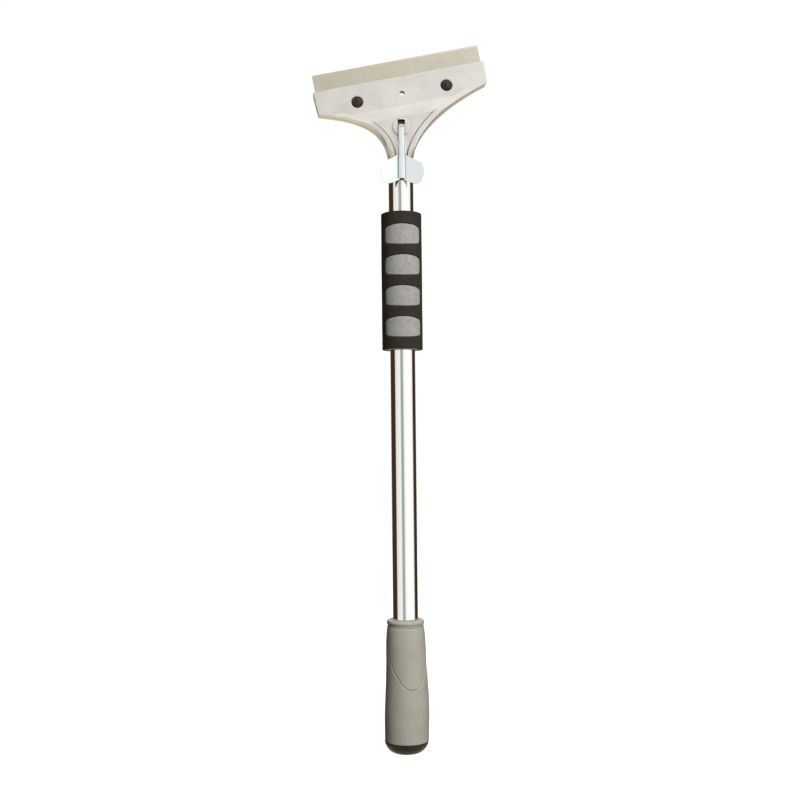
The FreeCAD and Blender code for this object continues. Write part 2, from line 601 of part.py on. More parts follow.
def window_plan(grow, centre):
    """The outline of one window as a solid that reaches out to the front."""
    half, tall = WINDOW_HALF + grow, WINDOW_HEIGHT / 2 + grow
    shoulder, low = centre + tall - WINDOW_CROWN, centre - tall
    left = [Vector(-half * w, 0, shoulder + WINDOW_CROWN * h) for w, h in CROWN_SHAPE]
    right = [Vector(-p.x, 0, p.z) for p in reversed(left)]
    crown = Part.BSplineCurve()
    crown.interpolate(left + [Vector(0, 0, centre + tall)] + right)
    low_right, low_left = Vector(half, 0, low + WINDOW_SAG), Vector(-half, 0, low + WINDOW_SAG)
    bottom = Part.Arc(low_right, Vector(0, 0, low), low_left)
    solid = plan_solid([crown.toShape(), Part.makeLine(right[-1], low_right), bottom.toShape(),
                        Part.makeLine(low_left, left[0])], grow)
    rounded = [e for e in solid.Edges if e.BoundBox.YLength > 1 and e.BoundBox.ZMax < centre]
    return solid.makeFillet(WINDOW_CORNER + grow, rounded)


def plan_solid(edges, grow):
    """A closed outline seen square on, given depth towards the front."""
    face = Part.Face(Part.Wire(edges))
    face.translate(Vector(0, grow - PLAN_START, 0))
    return face.extrude(Vector(0, -PLAN_REACH, 0))


def turn_back(shape):
    """The same shape on the rear side of the handle."""
    other = shape.copy()
    other.rotate(Vector(0, 0, 0), UP, 180)
    return other


def window_centres():
    """Heights of the windows' middles, from the top down."""
    top = (FOAM_BOTTOM + FOAM_TOP) / 2 - WINDOW_LOW + WINDOW_PITCH * (WINDOW_COUNT - 1) / 2
    return [top - WINDOW_PITCH * i for i in range(WINDOW_COUNT)]


def make_foam():
    """The soft grip: pale core, dark skin and the inlaid windows."""
    skin_in = FOAM_R - FOAM_SKIN
    core = sleeve(TUBE_R + SEAT_GAP, skin_in, FOAM_BOTTOM + CORE_SHORT, FOAM_TOP - CORE_SHORT)
    skin = sleeve(skin_in + SEAT_GAP, FOAM_R, FOAM_BOTTOM, FOAM_TOP)
    shell = skin.copy()
    rims = [e for e in skin.Edges if e.BoundBox.ZLength < 1e-4 and e.BoundBox.XLength > 2 * FOAM_R - 0.5]
    skin = skin.makeFillet(FOAM_EDGE, rims)
    pads = {}
    for i, centre in enumerate(window_centres()):
        opening, pad = window_plan(INLAY_GAP, centre), shell.common(window_plan(0.0, centre))
        skin = skin.cut(opening).cut(turn_back(opening))
        pads["pad_front_%d" % (i + 1)] = pad
        pads["pad_rear_%d" % (i + 1)] = turn_back(pad)
    return core, skin, pads


def sleeve_body(shrink):
    """The outside of the soft end sleeve, made smaller all round by shrink."""
    rings = []
    for share, over, shift in SLEEVE_SECTIONS:
        centre = Vector(shift, 0, CAP_HEIGHT + share * GRIP_LENGTH)
        rings.append(Part.Wire([Part.makeCircle(TUBE_R + over - shrink, centre, UP)]))
    return Part.makeLoft(rings, True, False)


def panel_plan(grow):
    """The tongue outline of the thumb panel as a solid that reaches out to the front."""
    half = PANEL_HALF + grow
    tall = PANEL_TOP - PANEL_TIP
    left = [Vector(-half * w, 0, PANEL_TIP - grow + tall * h) for w, h in PANEL_SHAPE]
    right = [Vector(-p.x, 0, p.z) for p in reversed(left)]
    curve = Part.BSplineCurve()
    curve.interpolate(left + [Vector(0, 0, PANEL_TIP - grow)] + right)
    top = PANEL_TOP + grow
    corners = [right[-1], Vector(half, 0, top), Vector(-half, 0, top), left[0]]
    edges = [curve.toShape()] + [Part.makeLine(p, q) for p, q in zip(corners[:-1], corners[1:])]
    solid = plan_solid(edges, grow)
    solid.rotate(Vector(0, 0, 0), UP, PANEL_TURN)
    return solid


def make_end_grip():
    """The soft sleeve with its bead, and the thumb panel set into it."""
    body = sleeve_body(0.0)
    foot = CAP_HEIGHT + SLEEVE_SECTIONS[-1][0] * GRIP_LENGTH - OVERLAP / 2
    bead = [(BEAD_R - inward, BEAD_TOP - down) for inward, down in BEAD_SHAPE]
    body = body.fuse(turned([(TUBE_R, foot)] + bead + [(TUBE_R, BEAD_TOP)]))
    body = body.cut(Part.makeCylinder(TUBE_R + SEAT_GAP, WIDE, Vector(0, 0, CORE_TOP)))
    body = body.cut(Part.makeCylinder(CORE_R + SEAT_GAP, CORE_TOP + SEAT_GAP, Vector(0, 0, 0)))
    recess = panel_plan(INLAY_GAP).cut(sleeve_body(PANEL_DEPTH + SEAT_GAP))
    panel = panel_plan(0.0).common(sleeve_body(0.0)).cut(sleeve_body(PANEL_DEPTH))
    return body.cut(recess), panel


def make_grip_core():
    """The hard liner between tube and soft sleeve."""
    return sleeve(TUBE_R + SEAT_GAP, CORE_R, CAP_HEIGHT + SEAT_GAP, CORE_TOP)


def make_end_cap():
    """The domed cap with a small flat, and the plug that holds it in the tube."""
    start = Vector(CAP_FLAT_R, 0, 0)
    rim = Vector(CAP_R, 0, CAP_HEIGHT)
    spread = CAP_R - CAP_FLAT_R
    middle = Vector(CAP_FLAT_R + spread * CAP_BULGE[0], 0, CAP_HEIGHT * CAP_BULGE[1])
    plug = TUBE_R - TUBE_WALL - SEAT_GAP
    line = [rim, Vector(plug, 0, CAP_HEIGHT), Vector(plug, 0, PLUG_TOP - PLUG_CHAMFER),
            Vector(plug - PLUG_CHAMFER, 0, PLUG_TOP), Vector(0, 0, PLUG_TOP), Vector(0, 0, 0), start]
    edges = [Part.Arc(start, middle, rim).toShape()]
    edges += [Part.makeLine(p, q) for p, q in zip(line[:-1], line[1:])]
    cap = Part.Face(Part.Wire(edges)).revolve(Vector(0, 0, 0), UP, 360)
    core = Part.makeCylinder(plug - PLUG_WALL, PLUG_TOP, Vector(0, 0, CAP_HEIGHT))
    return cap.cut(core)


def main():
    """Build every piece and save it."""
    os.makedirs("parts", exist_ok=True)
    save(make_head_body(), "head_body")
    save(make_clamp_plate(), "clamp_plate")
    save(make_blade(), "scraper_blade")
    save(make_stud(-1), "locating_stud_left")
    save(make_stud(1), "locating_stud_right")
    save(make_draw_bolt(), "draw_bolt")
    save(make_washer(), "bolt_washer")
    save(make_nut(), "bolt_nut")
    save(make_spring(), "release_spring")
    save(make_pin(), "lever_pivot_pin")
    save(make_lever(), "clamp_lever")
    save(make_tube(), "handle_tube")
    save(make_rivet(), "neck_rivet")
    core, skin, pads = make_foam()
    save(core, "foam_core")
    save(skin, "foam_skin")
    for name, pad in pads.items():
        save(pad, name)
    grip, panel = make_end_grip()
    save(grip, "end_grip")
    save(panel, "thumb_panel")
    save(make_grip_core(), "grip_core")
    save(make_end_cap(), "end_cap")


main()
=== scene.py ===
"""Studio scene of a long-handled window scraper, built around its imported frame."""
import logging
import math
from dataclasses import dataclass, replace
from enum import Enum

import bpy
import numpy as np
from mathutils import Matrix, Vector


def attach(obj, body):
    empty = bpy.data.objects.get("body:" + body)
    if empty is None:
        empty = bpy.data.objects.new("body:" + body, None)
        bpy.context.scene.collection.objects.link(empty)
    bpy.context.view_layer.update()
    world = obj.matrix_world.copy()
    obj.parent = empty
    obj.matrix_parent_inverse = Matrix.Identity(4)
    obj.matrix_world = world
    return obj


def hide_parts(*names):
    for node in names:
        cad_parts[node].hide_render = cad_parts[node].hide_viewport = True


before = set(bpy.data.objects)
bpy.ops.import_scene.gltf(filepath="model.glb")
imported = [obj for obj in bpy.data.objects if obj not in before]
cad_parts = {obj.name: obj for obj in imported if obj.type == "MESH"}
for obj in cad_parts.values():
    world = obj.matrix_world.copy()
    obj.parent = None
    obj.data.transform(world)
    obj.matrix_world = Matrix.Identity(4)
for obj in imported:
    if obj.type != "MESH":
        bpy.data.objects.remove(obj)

LOG = logging.getLogger("window_scraper")
MM = 0.001
GRIP_ROUND = 17.4  # the radius that arc lengths on the end grip are counted at, in millimetres

Colour = tuple[float, float, float]
Socket = bpy.types.NodeSocket
Points = list[tuple[float, float]]


class Body(Enum):
    """The rigid bodies of the part."""

    HANDLE = "handle"
    CLAMP = "clamp"
    LEVER = "lever"
    BLADE = "blade"


class Side(Enum):
    """Which way round the handle a piece faces."""

    FRONT = 0.0
    REAR = 180.0


# ---- node trees -----------------------------------------------------------------------------
class Graph:
    """A node tree with short ways to add nodes, fill their inputs and join them."""

    def __init__(self, tree: bpy.types.NodeTree) -> None:
        """Start on a tree.

        Args:
            tree: the tree that the nodes go into.
        """
        self.tree = tree

    def add(self, kind: str, inputs: dict[str | int, object] | None = None,
            **settings: object) -> bpy.types.Node:
        """Add one node.

        Args:
            kind: the node's class name without its ShaderNode prefix.
            inputs: input name or number to a socket to link or a value to set.
            settings: the node's own properties.

        Returns:
            The new node.
        """
        node = self.tree.nodes.new("ShaderNode" + kind)
        for name, value in settings.items():
            setattr(node, name, value)
        for key, value in (inputs or {}).items():
            if isinstance(value, bpy.types.NodeSocket):
                self.tree.links.new(value, node.inputs[key])
            else:
                node.inputs[key].default_value = value
        return node

    def math(self, operation: str, *values: object, clamp: bool = False) -> Socket:
        """Combine one to three values.

        Args:
            operation: the Math node's operation.
            values: sockets or numbers.
            clamp: whether the result is kept between 0 and 1.

        Returns:
            The result socket.
        """
        return self.add("Math", dict(enumerate(values)), operation=operation, use_clamp=clamp).outputs[0]

    def vector(self, operation: str, *values: object, output: str = "Vector") -> Socket:
        """Combine vectors.

        Args:
            operation: the Vector Math node's operation.
            values: sockets or triples.
            output: which output to return.

        Returns:
            The result socket.
        """
        return self.add("VectorMath", dict(enumerate(values)), operation=operation).outputs[output]

    def scaled(self, vector: Socket, size: Colour) -> Socket:
        """Stretch a vector by a triple.

        Args:
            vector: the vector.
            size: the factor for each axis.

        Returns:
            The stretched vector.
        """
        return self.vector("MULTIPLY", vector, size)

    def mix(self, factor: object, low: object, high: object, blend: str = "MIX") -> Socket:
        """Mix two colours.

        Args:
            factor: how far towards the second.
            low: the first colour.
            high: the second colour.
            blend: the blend type.

        Returns:
            The mixed colour.
        """
        def rgba(value: object) -> object:
            """Give a plain colour its fourth part.

            Args:
                value: a socket or a colour.

            Returns:
                The socket, or the colour with four parts.
            """
            return value if isinstance(value, bpy.types.NodeSocket) else (*value, 1.0)

        node = self.add("Mix", data_type="RGBA", blend_type=blend)
        for key, value in ((0, factor), (6, rgba(low)), (7, rgba(high))):
            if isinstance(value, bpy.types.NodeSocket):
                self.tree.links.new(value, node.inputs[key])
            else:
                node.inputs[key].default_value = value
        return node.outputs[2]

    def remap(self, value: Socket, start: float, end: float, low: float = 0.0, high: float = 1.0) -> Socket:
        """Move a value smoothly from one range to another.

        Args:
            value: the value.
            start: where the old range starts.
            end: where the old range ends.
            low: where the new range starts.
            high: where the new range ends.

        Returns:
            The new value.
        """
        return self.add("MapRange", {0: value, 1: start, 2: end, 3: low, 4: high},
                        interpolation_type="SMOOTHSTEP").outputs[0]

    def noise(self, vector: Socket, scale: object, detail: float = 3.0, rough: float = 0.5) -> Socket:
        """Fractal noise.

        Args:
            vector: where it is read.
            scale: its scale.
            detail: its octaves.
            rough: how strong the finer octaves are.

        Returns:
            The noise value, 0 to 1.
        """
        return self.add("TexNoise", {"Vector": vector, "Scale": scale, "Detail": detail,
                                     "Roughness": rough}).outputs["Fac"]

    def cells(self, vector: Socket, scale: object, feature: str = "F1") -> Socket:
        """Distance to scattered points.

        Args:
            vector: where it is read.
            scale: how dense the points are.
            feature: which distance.

        Returns:
            The distance.
        """
        return self.add("TexVoronoi", {"Vector": vector, "Scale": scale}, feature=feature).outputs["Distance"]


class Effect:
    """A shared surface effect, kept as one node group with named inputs and outputs."""

    title = "effect"
    takes: tuple[tuple[str, str, object], ...] = ()
    gives: tuple[tuple[str, str], ...] = ()

    @classmethod
    def group(cls) -> bpy.types.NodeTree:
        """The node group, made the first time it is asked for.

        Returns:
            The group's tree.
        """
        found = bpy.data.node_groups.get(cls.title)
        if found:
            return found
        tree = bpy.data.node_groups.new(cls.title, "ShaderNodeTree")
        for name, kind, value in cls.takes:
            made = tree.interface.new_socket(name=name, in_out="INPUT", socket_type="NodeSocket" + kind)
            if value is not None:
                made.default_value = value
        for name, kind in cls.gives:
            tree.interface.new_socket(name=name, in_out="OUTPUT", socket_type="NodeSocket" + kind)
        graph = Graph(tree)
        start, end = tree.nodes.new("NodeGroupInput"), tree.nodes.new("NodeGroupOutput")
        for name, socket in cls.wire(graph, start.outputs).items():
            tree.links.new(socket, end.inputs[name])
        return tree

    @classmethod
    def wire(cls, graph: Graph, given: bpy.types.NodeOutputs) -> dict[str, Socket]:
        """Fill the group.

        Args:
            graph: the group's tree.
            given: the group's inputs.

        Returns:
            Output name to socket.
        """
        raise NotImplementedError

    @classmethod
    def use(cls, graph: Graph, **inputs: object) -> bpy.types.NodeOutputs:
        """Put the effect into a material.

        Args:
            graph: the material's tree.
            inputs: input name, with spaces as underscores, to a socket or value.

        Returns:
            The group node's outputs.
        """
        node = graph.add("Group", node_tree=cls.group())
        for name, value in inputs.items():
            key = name.replace("_", " ")
            if isinstance(value, bpy.types.NodeSocket):
                graph.tree.links.new(value, node.inputs[key])
            else:
                node.inputs[key].default_value = value
        return node.outputs


class CastSkin(Effect):
    """The fine lumps, tumbling marks and pits of a die casting."""

    title = "cast skin"
    takes = (("Vector", "Vector", None), ("Grain", "Float", 900.0), ("Pits", "Float", 0.3))
    gives = (("Height", "Float"), ("Tone", "Float"), ("Pit Mask", "Float"))

    @classmethod
    def wire(cls, graph: Graph, given: bpy.types.NodeOutputs) -> dict[str, Socket]:
        """Lumps from noise, pits from scattered points, tone from slow noise.

        Args:
            graph: the tree that the nodes go into.
            given: the group's inputs.

        Returns:
            Output name to socket.
        """
        fine = graph.noise(given["Vector"], given["Grain"], 4.0, 0.6)
        slow = graph.noise(given["Vector"], graph.math("MULTIPLY", given["Grain"], 0.07), 3.0, 0.55)
        spots = graph.cells(given["Vector"], graph.math("MULTIPLY", given["Grain"], 0.35))
        patches = graph.noise(given["Vector"], graph.math("MULTIPLY", given["Grain"], 0.16), 1.0)
        rare = graph.math("MULTIPLY", graph.remap(patches, 0.52, 0.66), given["Pits"])
        pit = graph.math("MULTIPLY", graph.remap(spots, 0.22, 0.05), rare)
        height = graph.math("SUBTRACT", graph.math("ADD", fine, graph.math("MULTIPLY", slow, 2.0)), pit)
        return {"Height": height, "Tone": graph.remap(slow, 0.3, 0.7), "Pit Mask": pit}


class GroundGrain(Effect):
    """The fine parallel scratches of ground or drawn metal."""

    title = "ground grain"
    takes = (("Vector", "Vector", None), ("Along", "Float", 30.0), ("Across", "Float", 2500.0),
             ("Turn", "Float", 0.0))
    gives = (("Height", "Float"), ("Tone", "Float"), ("Stain", "Float"))

    @classmethod
    def wire(cls, graph: Graph, given: bpy.types.NodeOutputs) -> dict[str, Socket]:
        """Noise that is stretched along one direction, and a slow stain.

        Args:
            graph: the tree that the nodes go into.
            given: the group's inputs.

        Returns:
            Output name to socket.
        """
        turned = graph.add("VectorRotate", {"Vector": given["Vector"], "Angle": given["Turn"]},
                           rotation_type="Y_AXIS").outputs[0]
        size = graph.add("CombineXYZ", {0: given["Across"], 1: given["Across"], 2: given["Along"]}).outputs[0]
        streak = graph.noise(graph.vector("MULTIPLY", turned, size), 1.0, 2.0, 0.7)
        broad = graph.noise(graph.scaled(turned, (190.0, 190.0, 22.0)), 1.0, 2.0, 0.5)
        stain = graph.noise(turned, 34.0, 4.0, 0.6)
        tone = graph.mix(0.4, streak, broad)
        return {"Height": streak, "Tone": tone, "Stain": graph.remap(stain, 0.42, 0.72)}


class FoamCells(Effect):
    """The closed cells and soft lumps of moulded foam."""

    title = "foam cells"
    takes = (("Vector", "Vector", None), ("Cells", "Float", 2600.0))
    gives = (("Height", "Float"), ("Tone", "Float"), ("Pore", "Float"))

    @classmethod
    def wire(cls, graph: Graph, given: bpy.types.NodeOutputs) -> dict[str, Socket]:
        """Small round cells over slower lumps, with open pores here and there.

        Args:
            graph: the tree that the nodes go into.
            given: the group's inputs.

        Returns:
            Output name to socket.
        """
        cell = graph.cells(given["Vector"], given["Cells"])
        lump = graph.noise(given["Vector"], graph.math("MULTIPLY", given["Cells"], 0.12), 3.0, 0.6)
        weave = graph.noise(given["Vector"], graph.math("MULTIPLY", given["Cells"], 0.5), 2.0, 0.6)
        holes = graph.cells(given["Vector"], graph.math("MULTIPLY", given["Cells"], 0.33))
        pore = graph.remap(holes, 0.16, 0.04)
        height = graph.math("ADD", graph.math("MULTIPLY", cell, -0.8), graph.math("ADD", lump, weave))
        height = graph.math("SUBTRACT", height, pore)
        return {"Height": height, "Tone": graph.remap(lump, 0.3, 0.7), "Pore": pore}


class EdgeWear(Effect):
    """Where an outside edge is rubbed, broken up by noise."""

    title = "edge wear"
    takes = (("Vector", "Vector", None), ("Radius", "Float", 0.0005), ("Amount", "Float", 1.0))
    gives = (("Mask", "Float"), ("Normal", "Vector"))

    @classmethod
    def wire(cls, graph: Graph, given: bpy.types.NodeOutputs) -> dict[str, Socket]:
        """Compare the rounded normal with the flat one.

        Args:
            graph: the tree that the nodes go into.
            given: the group's inputs.

        Returns:
            Output name to socket.
        """
        rounded = graph.add("Bevel", {"Radius": given["Radius"]}, samples=4).outputs[0]
        flat = graph.add("NewGeometry").outputs["True Normal"]
        turn = graph.math("SUBTRACT", 1.0, graph.vector("DOT_PRODUCT", rounded, flat, output="Value"))
        broken = graph.remap(graph.noise(given["Vector"], 420.0, 4.0, 0.65), 0.35, 0.65)
        mask = graph.math("MULTIPLY", graph.remap(turn, 0.01, 0.16), broken)
        return {"Mask": graph.math("MULTIPLY", mask, given["Amount"], clamp=True), "Normal": rounded}


class RecessShade(Effect):
    """Painted shade where a surface is hemmed in by others, broken up by noise."""

    title = "crevice"
    takes = (("Vector", "Vector", None), ("Reach", "Float", 0.004), ("Start", "Float", 0.8))
    gives = (("Mask", "Float"),)

    @classmethod
    def wire(cls, graph: Graph, given: bpy.types.NodeOutputs) -> dict[str, Socket]:
        """How little of the sky a point sees, within a short reach.

        Args:
            graph: the tree that the nodes go into.
            given: the group's inputs.

        Returns:
            Output name to socket.
        """
        free = graph.add("AmbientOcclusion", {"Distance": given["Reach"]}, samples=8).outputs["AO"]
        uneven = graph.math("MULTIPLY", graph.noise(given["Vector"], 500.0, 3.0), 0.16)
        node = graph.add("MapRange", {0: graph.math("ADD", free, uneven), 1: given["Start"], 2: 0.3},
                         interpolation_type="SMOOTHSTEP")
        return {"Mask": node.outputs[0]}


class RingMark(Effect):
    """A faint round witness mark on the front, as an ejector pin leaves."""

    title = "ring mark"
    takes = (("Vector", "Vector", None), ("Across", "Float", 0.0), ("Height", "Float", 0.0),
             ("Radius", "Float", 0.0044))
    gives = (("Mask", "Float"),)

    @classmethod
    def wire(cls, graph: Graph, given: bpy.types.NodeOutputs) -> dict[str, Socket]:
        """A thin line at one distance from a point, in front only.

        Args:
            graph: the tree that the nodes go into.
            given: the group's inputs.

        Returns:
            Output name to socket.
        """
        x, y, z = graph.add("SeparateXYZ", {0: given["Vector"]}).outputs[:3]
        side, rise = graph.math("SUBTRACT", x, given["Across"]), graph.math("SUBTRACT", z, given["Height"])
        across, up = graph.math("MULTIPLY", side, side), graph.math("MULTIPLY", rise, rise)
        away = graph.math("SQRT", graph.math("ADD", across, up))
        off_line = graph.math("ABSOLUTE", graph.math("SUBTRACT", away, given["Radius"]))
        line = graph.remap(off_line, 0.0007, 0.0002)
        broken = graph.remap(graph.noise(given["Vector"], 260.0, 3.0, 0.6), 0.35, 0.6)
        front = graph.math("LESS_THAN", y, -0.005)
        return {"Mask": graph.math("MULTIPLY", graph.math("MULTIPLY", line, broken), front)}


class Specks(Effect):
    """A few tiny dark marks on a moulded surface."""

    title = "specks"
    takes = (("Vector", "Vector", None), ("Density", "Float", 110.0), ("Share", "Float", 0.12))
    gives = (("Mask", "Float"),)

    @classmethod
    def wire(cls, graph: Graph, given: bpy.types.NodeOutputs) -> dict[str, Socket]:
        """Scattered points, most of them left out.

        Args:
            graph: the tree that the nodes go into.
            given: the group's inputs.

        Returns:
            Output name to socket.
        """
        drift = graph.add("TexNoise", {"Vector": given["Vector"], "Scale": 900.0}).outputs["Color"]
        bent = graph.vector("ADD", given["Vector"], graph.scaled(drift, (0.0008,) * 3))
        node = graph.add("TexVoronoi", {"Vector": bent, "Scale": given["Density"]})
        pick = graph.add("SeparateXYZ", {0: node.outputs["Color"]}).outputs[0]
        kept = graph.math("LESS_THAN", pick, given["Share"])
        return {"Mask": graph.math("MULTIPLY", graph.remap(node.outputs["Distance"], 0.075, 0.03), kept)}


class SettledDust(Effect):
    """A thin film on what faces up and in slow patches."""

    title = "settled dust"
    takes = (("Vector", "Vector", None), ("Amount", "Float", 0.3))
    gives = (("Mask", "Float"),)

    @classmethod
    def wire(cls, graph: Graph, given: bpy.types.NodeOutputs) -> dict[str, Socket]:
        """Up-facing share times slow noise.

        Args:
            graph: the tree that the nodes go into.
            given: the group's inputs.

        Returns:
            Output name to socket.
        """
        normal = graph.add("NewGeometry").outputs["Normal"]
        up = graph.remap(graph.add("SeparateXYZ", {0: normal}).outputs[2], 0.1, 1.0, 0.12, 1.0)
        patch = graph.remap(graph.noise(given["Vector"], 60.0, 5.0, 0.65), 0.35, 0.75)
        film = graph.math("MULTIPLY", up, patch)
        return {"Mask": graph.math("MULTIPLY", film, given["Amount"], clamp=True)}


# ---- finishes -----------------------------------------------------------------------------------
@dataclass(frozen=True)
class Finish:
    """One surface finish: base colour, gloss and fine relief."""

    name: str
    colour: Colour
    roughness: float = 0.5
    metallic: float = 0.0
    bump: float = 0.3
    bump_mm: float = 0.05
    edge_mm: float = 0.3
    wear: float = 0.3
    dust: float = 0.1

    def material(self) -> bpy.types.Material:
        """The finish as a material, made once.

        Returns:
            The material.
        """
        found = bpy.data.materials.get(self.name)
        if found:
            return found
        made = bpy.data.materials.new(self.name)
        made.use_nodes = True
        made.node_tree.nodes.clear()
        graph = Graph(made.node_tree)
        place = graph.add("TexCoord").outputs["Object"]
        shader = graph.add("BsdfPrincipled")
        self.fill(graph, shader, place)
        out = graph.add("OutputMaterial")
        graph.tree.links.new(shader.outputs[0], out.inputs[0])
        made.diffuse_color = (*self.colour, 1.0)
        return made

    def fill(self, graph: Graph, shader: bpy.types.Node, place: Socket) -> None:
        """Wire the finish into its shader.

        Args:
            graph: the material's tree.
            shader: the principled shader.
            place: object coordinates in metres.
        """
        raise NotImplementedError

    def feed(self, graph: Graph, shader: bpy.types.Node, **inputs: object) -> None:
        """Set or link the shader's inputs.

        Args:
            graph: the material's tree.
            shader: the principled shader.
            inputs: input name, with spaces as underscores, to a socket or value.
        """
        for name, value in inputs.items():
            socket = shader.inputs[name.replace("_", " ")]
            if isinstance(value, bpy.types.NodeSocket):
                graph.tree.links.new(value, socket)
            elif isinstance(value, tuple) and len(value) == 3 and socket.type == "RGBA":
                socket.default_value = (*value, 1.0)
            else:
                socket.default_value = value

    def shade(self, share: float) -> Colour:
        """The base colour made darker or brighter, and no brighter than white.

        Args:
            share: what each part of the colour is multiplied by.

        Returns:
            The new colour.
        """
        return tuple(min(1.0, c * share) for c in self.colour)

    def relief(self, graph: Graph, height: Socket, normal: Socket | None = None) -> Socket:
        """A bumped normal.

        Args:
            graph: the material's tree.
            height: the height field.
            normal: the normal under it.

        Returns:
            The new normal.
        """
        inputs: dict[str | int, object] = {"Strength": self.bump, "Height": height}
        inputs["Distance"] = self.bump_mm * MM
        if normal is not None:
            inputs["Normal"] = normal
        return graph.add("Bump", inputs).outputs[0]


@dataclass(frozen=True)
class CastMetal(Finish):
    """Tumbled die-cast metal."""

    grain: float = 900.0
    pits: float = 0.5
    # How far recesses and pockets are darkened, as painted shade.
    recess_shade: float = 0.22
    pocket_shade: float = 0.95
    marks: tuple[tuple[float, float], ...] = ()

    def fill(self, graph: Graph, shader: bpy.types.Node, place: Socket) -> None:
        """Mottled tone, pits, bright rubbed edges, painted shade in recesses and pockets.

        Args:
            graph: the tree that the nodes go into.
            shader: the principled shader.
            place: object coordinates in metres.
        """
        skin = CastSkin.use(graph, Vector=place, Grain=self.grain, Pits=self.pits)
        wear = EdgeWear.use(graph, Vector=place, Radius=self.edge_mm * MM, Amount=self.wear)
        dust = SettledDust.use(graph, Vector=place, Amount=self.dust)["Mask"]
        tone = graph.mix(skin["Tone"], self.shade(0.9), self.colour)
        tone = graph.mix(skin["Pit Mask"], tone, self.shade(0.45))
        tone = graph.mix(wear["Mask"], tone, self.shade(1.18))
        tone = graph.mix(dust, tone, (0.62, 0.59, 0.52))
        height = skin["Height"]
        for across, up in self.marks:
            ring = RingMark.use(graph, Vector=place, Across=across * MM, Height=up * MM)["Mask"]
            tone = graph.mix(graph.math("MULTIPLY", ring, 0.45), tone, self.shade(1.12))
            height = graph.math("ADD", height, graph.math("MULTIPLY", ring, 1.2))
        # Painted shade: recesses darkened towards dark brown where little of the sky is seen.
        recess = RecessShade.use(graph, Vector=place)["Mask"]
        tone = graph.mix(graph.math("MULTIPLY", recess, self.recess_shade), tone, (0.10, 0.088, 0.07))
        # Painted shade: deep pockets darkened almost to black.
        pocket = RecessShade.use(graph, Vector=place, Reach=0.009, Start=0.5)["Mask"]
        tone = graph.mix(graph.math("MULTIPLY", pocket, self.pocket_shade), tone, (0.008, 0.007, 0.006))
        gloss = graph.math("ADD", self.roughness - 0.06, graph.math("MULTIPLY", skin["Tone"], 0.12))
        gloss = graph.math("SUBTRACT", gloss, graph.math("MULTIPLY", wear["Mask"], 0.1))
        self.feed(graph, shader, Base_Color=tone, Metallic=self.metallic, Roughness=gloss,
                  Normal=self.relief(graph, height, wear["Normal"]))


@dataclass(frozen=True)
class GroundSteel(Finish):
    """Ground or drawn steel with parallel scratches."""

    turn: float = 0.0
    along: float = 40.0
    across: float = 2600.0
    stain: Colour = (0.42, 0.36, 0.27)
    stained: float = 0.25

    def fill(self, graph: Graph, shader: bpy.types.Node, place: Socket) -> None:
        """Streaks in tone and gloss, a faint stain, polished edges.

        Args:
            graph: the tree that the nodes go into.
            shader: the principled shader.
            place: object coordinates in metres.
        """
        grain = GroundGrain.use(graph, Vector=place, Along=self.along, Across=self.across,
                                Turn=math.radians(self.turn))
        wear = EdgeWear.use(graph, Vector=place, Radius=self.edge_mm * MM, Amount=self.wear)
        tone = graph.mix(grain["Tone"], self.shade(0.88), self.shade(1.06))
        tone = graph.mix(graph.math("MULTIPLY", grain["Stain"], self.stained), tone, self.stain)
        tone = graph.mix(wear["Mask"], tone, (0.8, 0.78, 0.74))
        gloss = graph.math("ADD", self.roughness - 0.05, graph.math("MULTIPLY", grain["Tone"], 0.12))
        self.feed(graph, shader, Base_Color=tone, Metallic=self.metallic, Roughness=gloss,
                  Normal=self.relief(graph, grain["Height"], wear["Normal"]))


@dataclass(frozen=True)
class BrightPlate(Finish):
    """Polished plating, with faint handling marks."""

    smear: float = 0.05
    recess_shade: float = 0.0

    def fill(self, graph: Graph, shader: bpy.types.Node, place: Socket) -> None:
        """A nearly even mirror with slow smears and hairlines, with optional painted shade in recesses.

        Args:
            graph: the tree that the nodes go into.
            shader: the principled shader.
            place: object coordinates in metres.
        """
        smear = graph.remap(graph.noise(place, 45.0, 4.0, 0.6), 0.4, 0.75)
        lines = graph.noise(graph.scaled(place, (2200.0, 2200.0, 60.0)), 1.0, 2.0, 0.7)
        hair = graph.remap(lines, 0.62, 0.74)
        wear = EdgeWear.use(graph, Vector=place, Radius=self.edge_mm * MM, Amount=self.wear)
        dust = SettledDust.use(graph, Vector=place, Amount=self.dust)["Mask"]
        marks = graph.math("MULTIPLY", graph.math("MAXIMUM", smear, hair), self.smear)
        gloss = graph.math("ADD", graph.math("ADD", self.roughness, marks), graph.math("MULTIPLY", dust, 0.4))
        tone = graph.mix(graph.math("MULTIPLY", wear["Mask"], 0.5), self.colour, (0.72, 0.7, 0.66))
        tone = graph.mix(graph.math("MULTIPLY", dust, 0.5), tone, (0.6, 0.58, 0.52))
        if self.recess_shade:
            # Painted shade: recesses darkened towards near-black.
            recess = RecessShade.use(graph, Vector=place, Reach=0.003, Start=0.72)["Mask"]
            tone = graph.mix(graph.math("MULTIPLY", recess, self.recess_shade), tone, (0.03, 0.032, 0.032))
        height = graph.noise(place, 140.0, 2.0, 0.5)
        self.feed(graph, shader, Base_Color=tone, Metallic=self.metallic, Roughness=gloss,
                  Normal=self.relief(graph, height, wear["Normal"]))


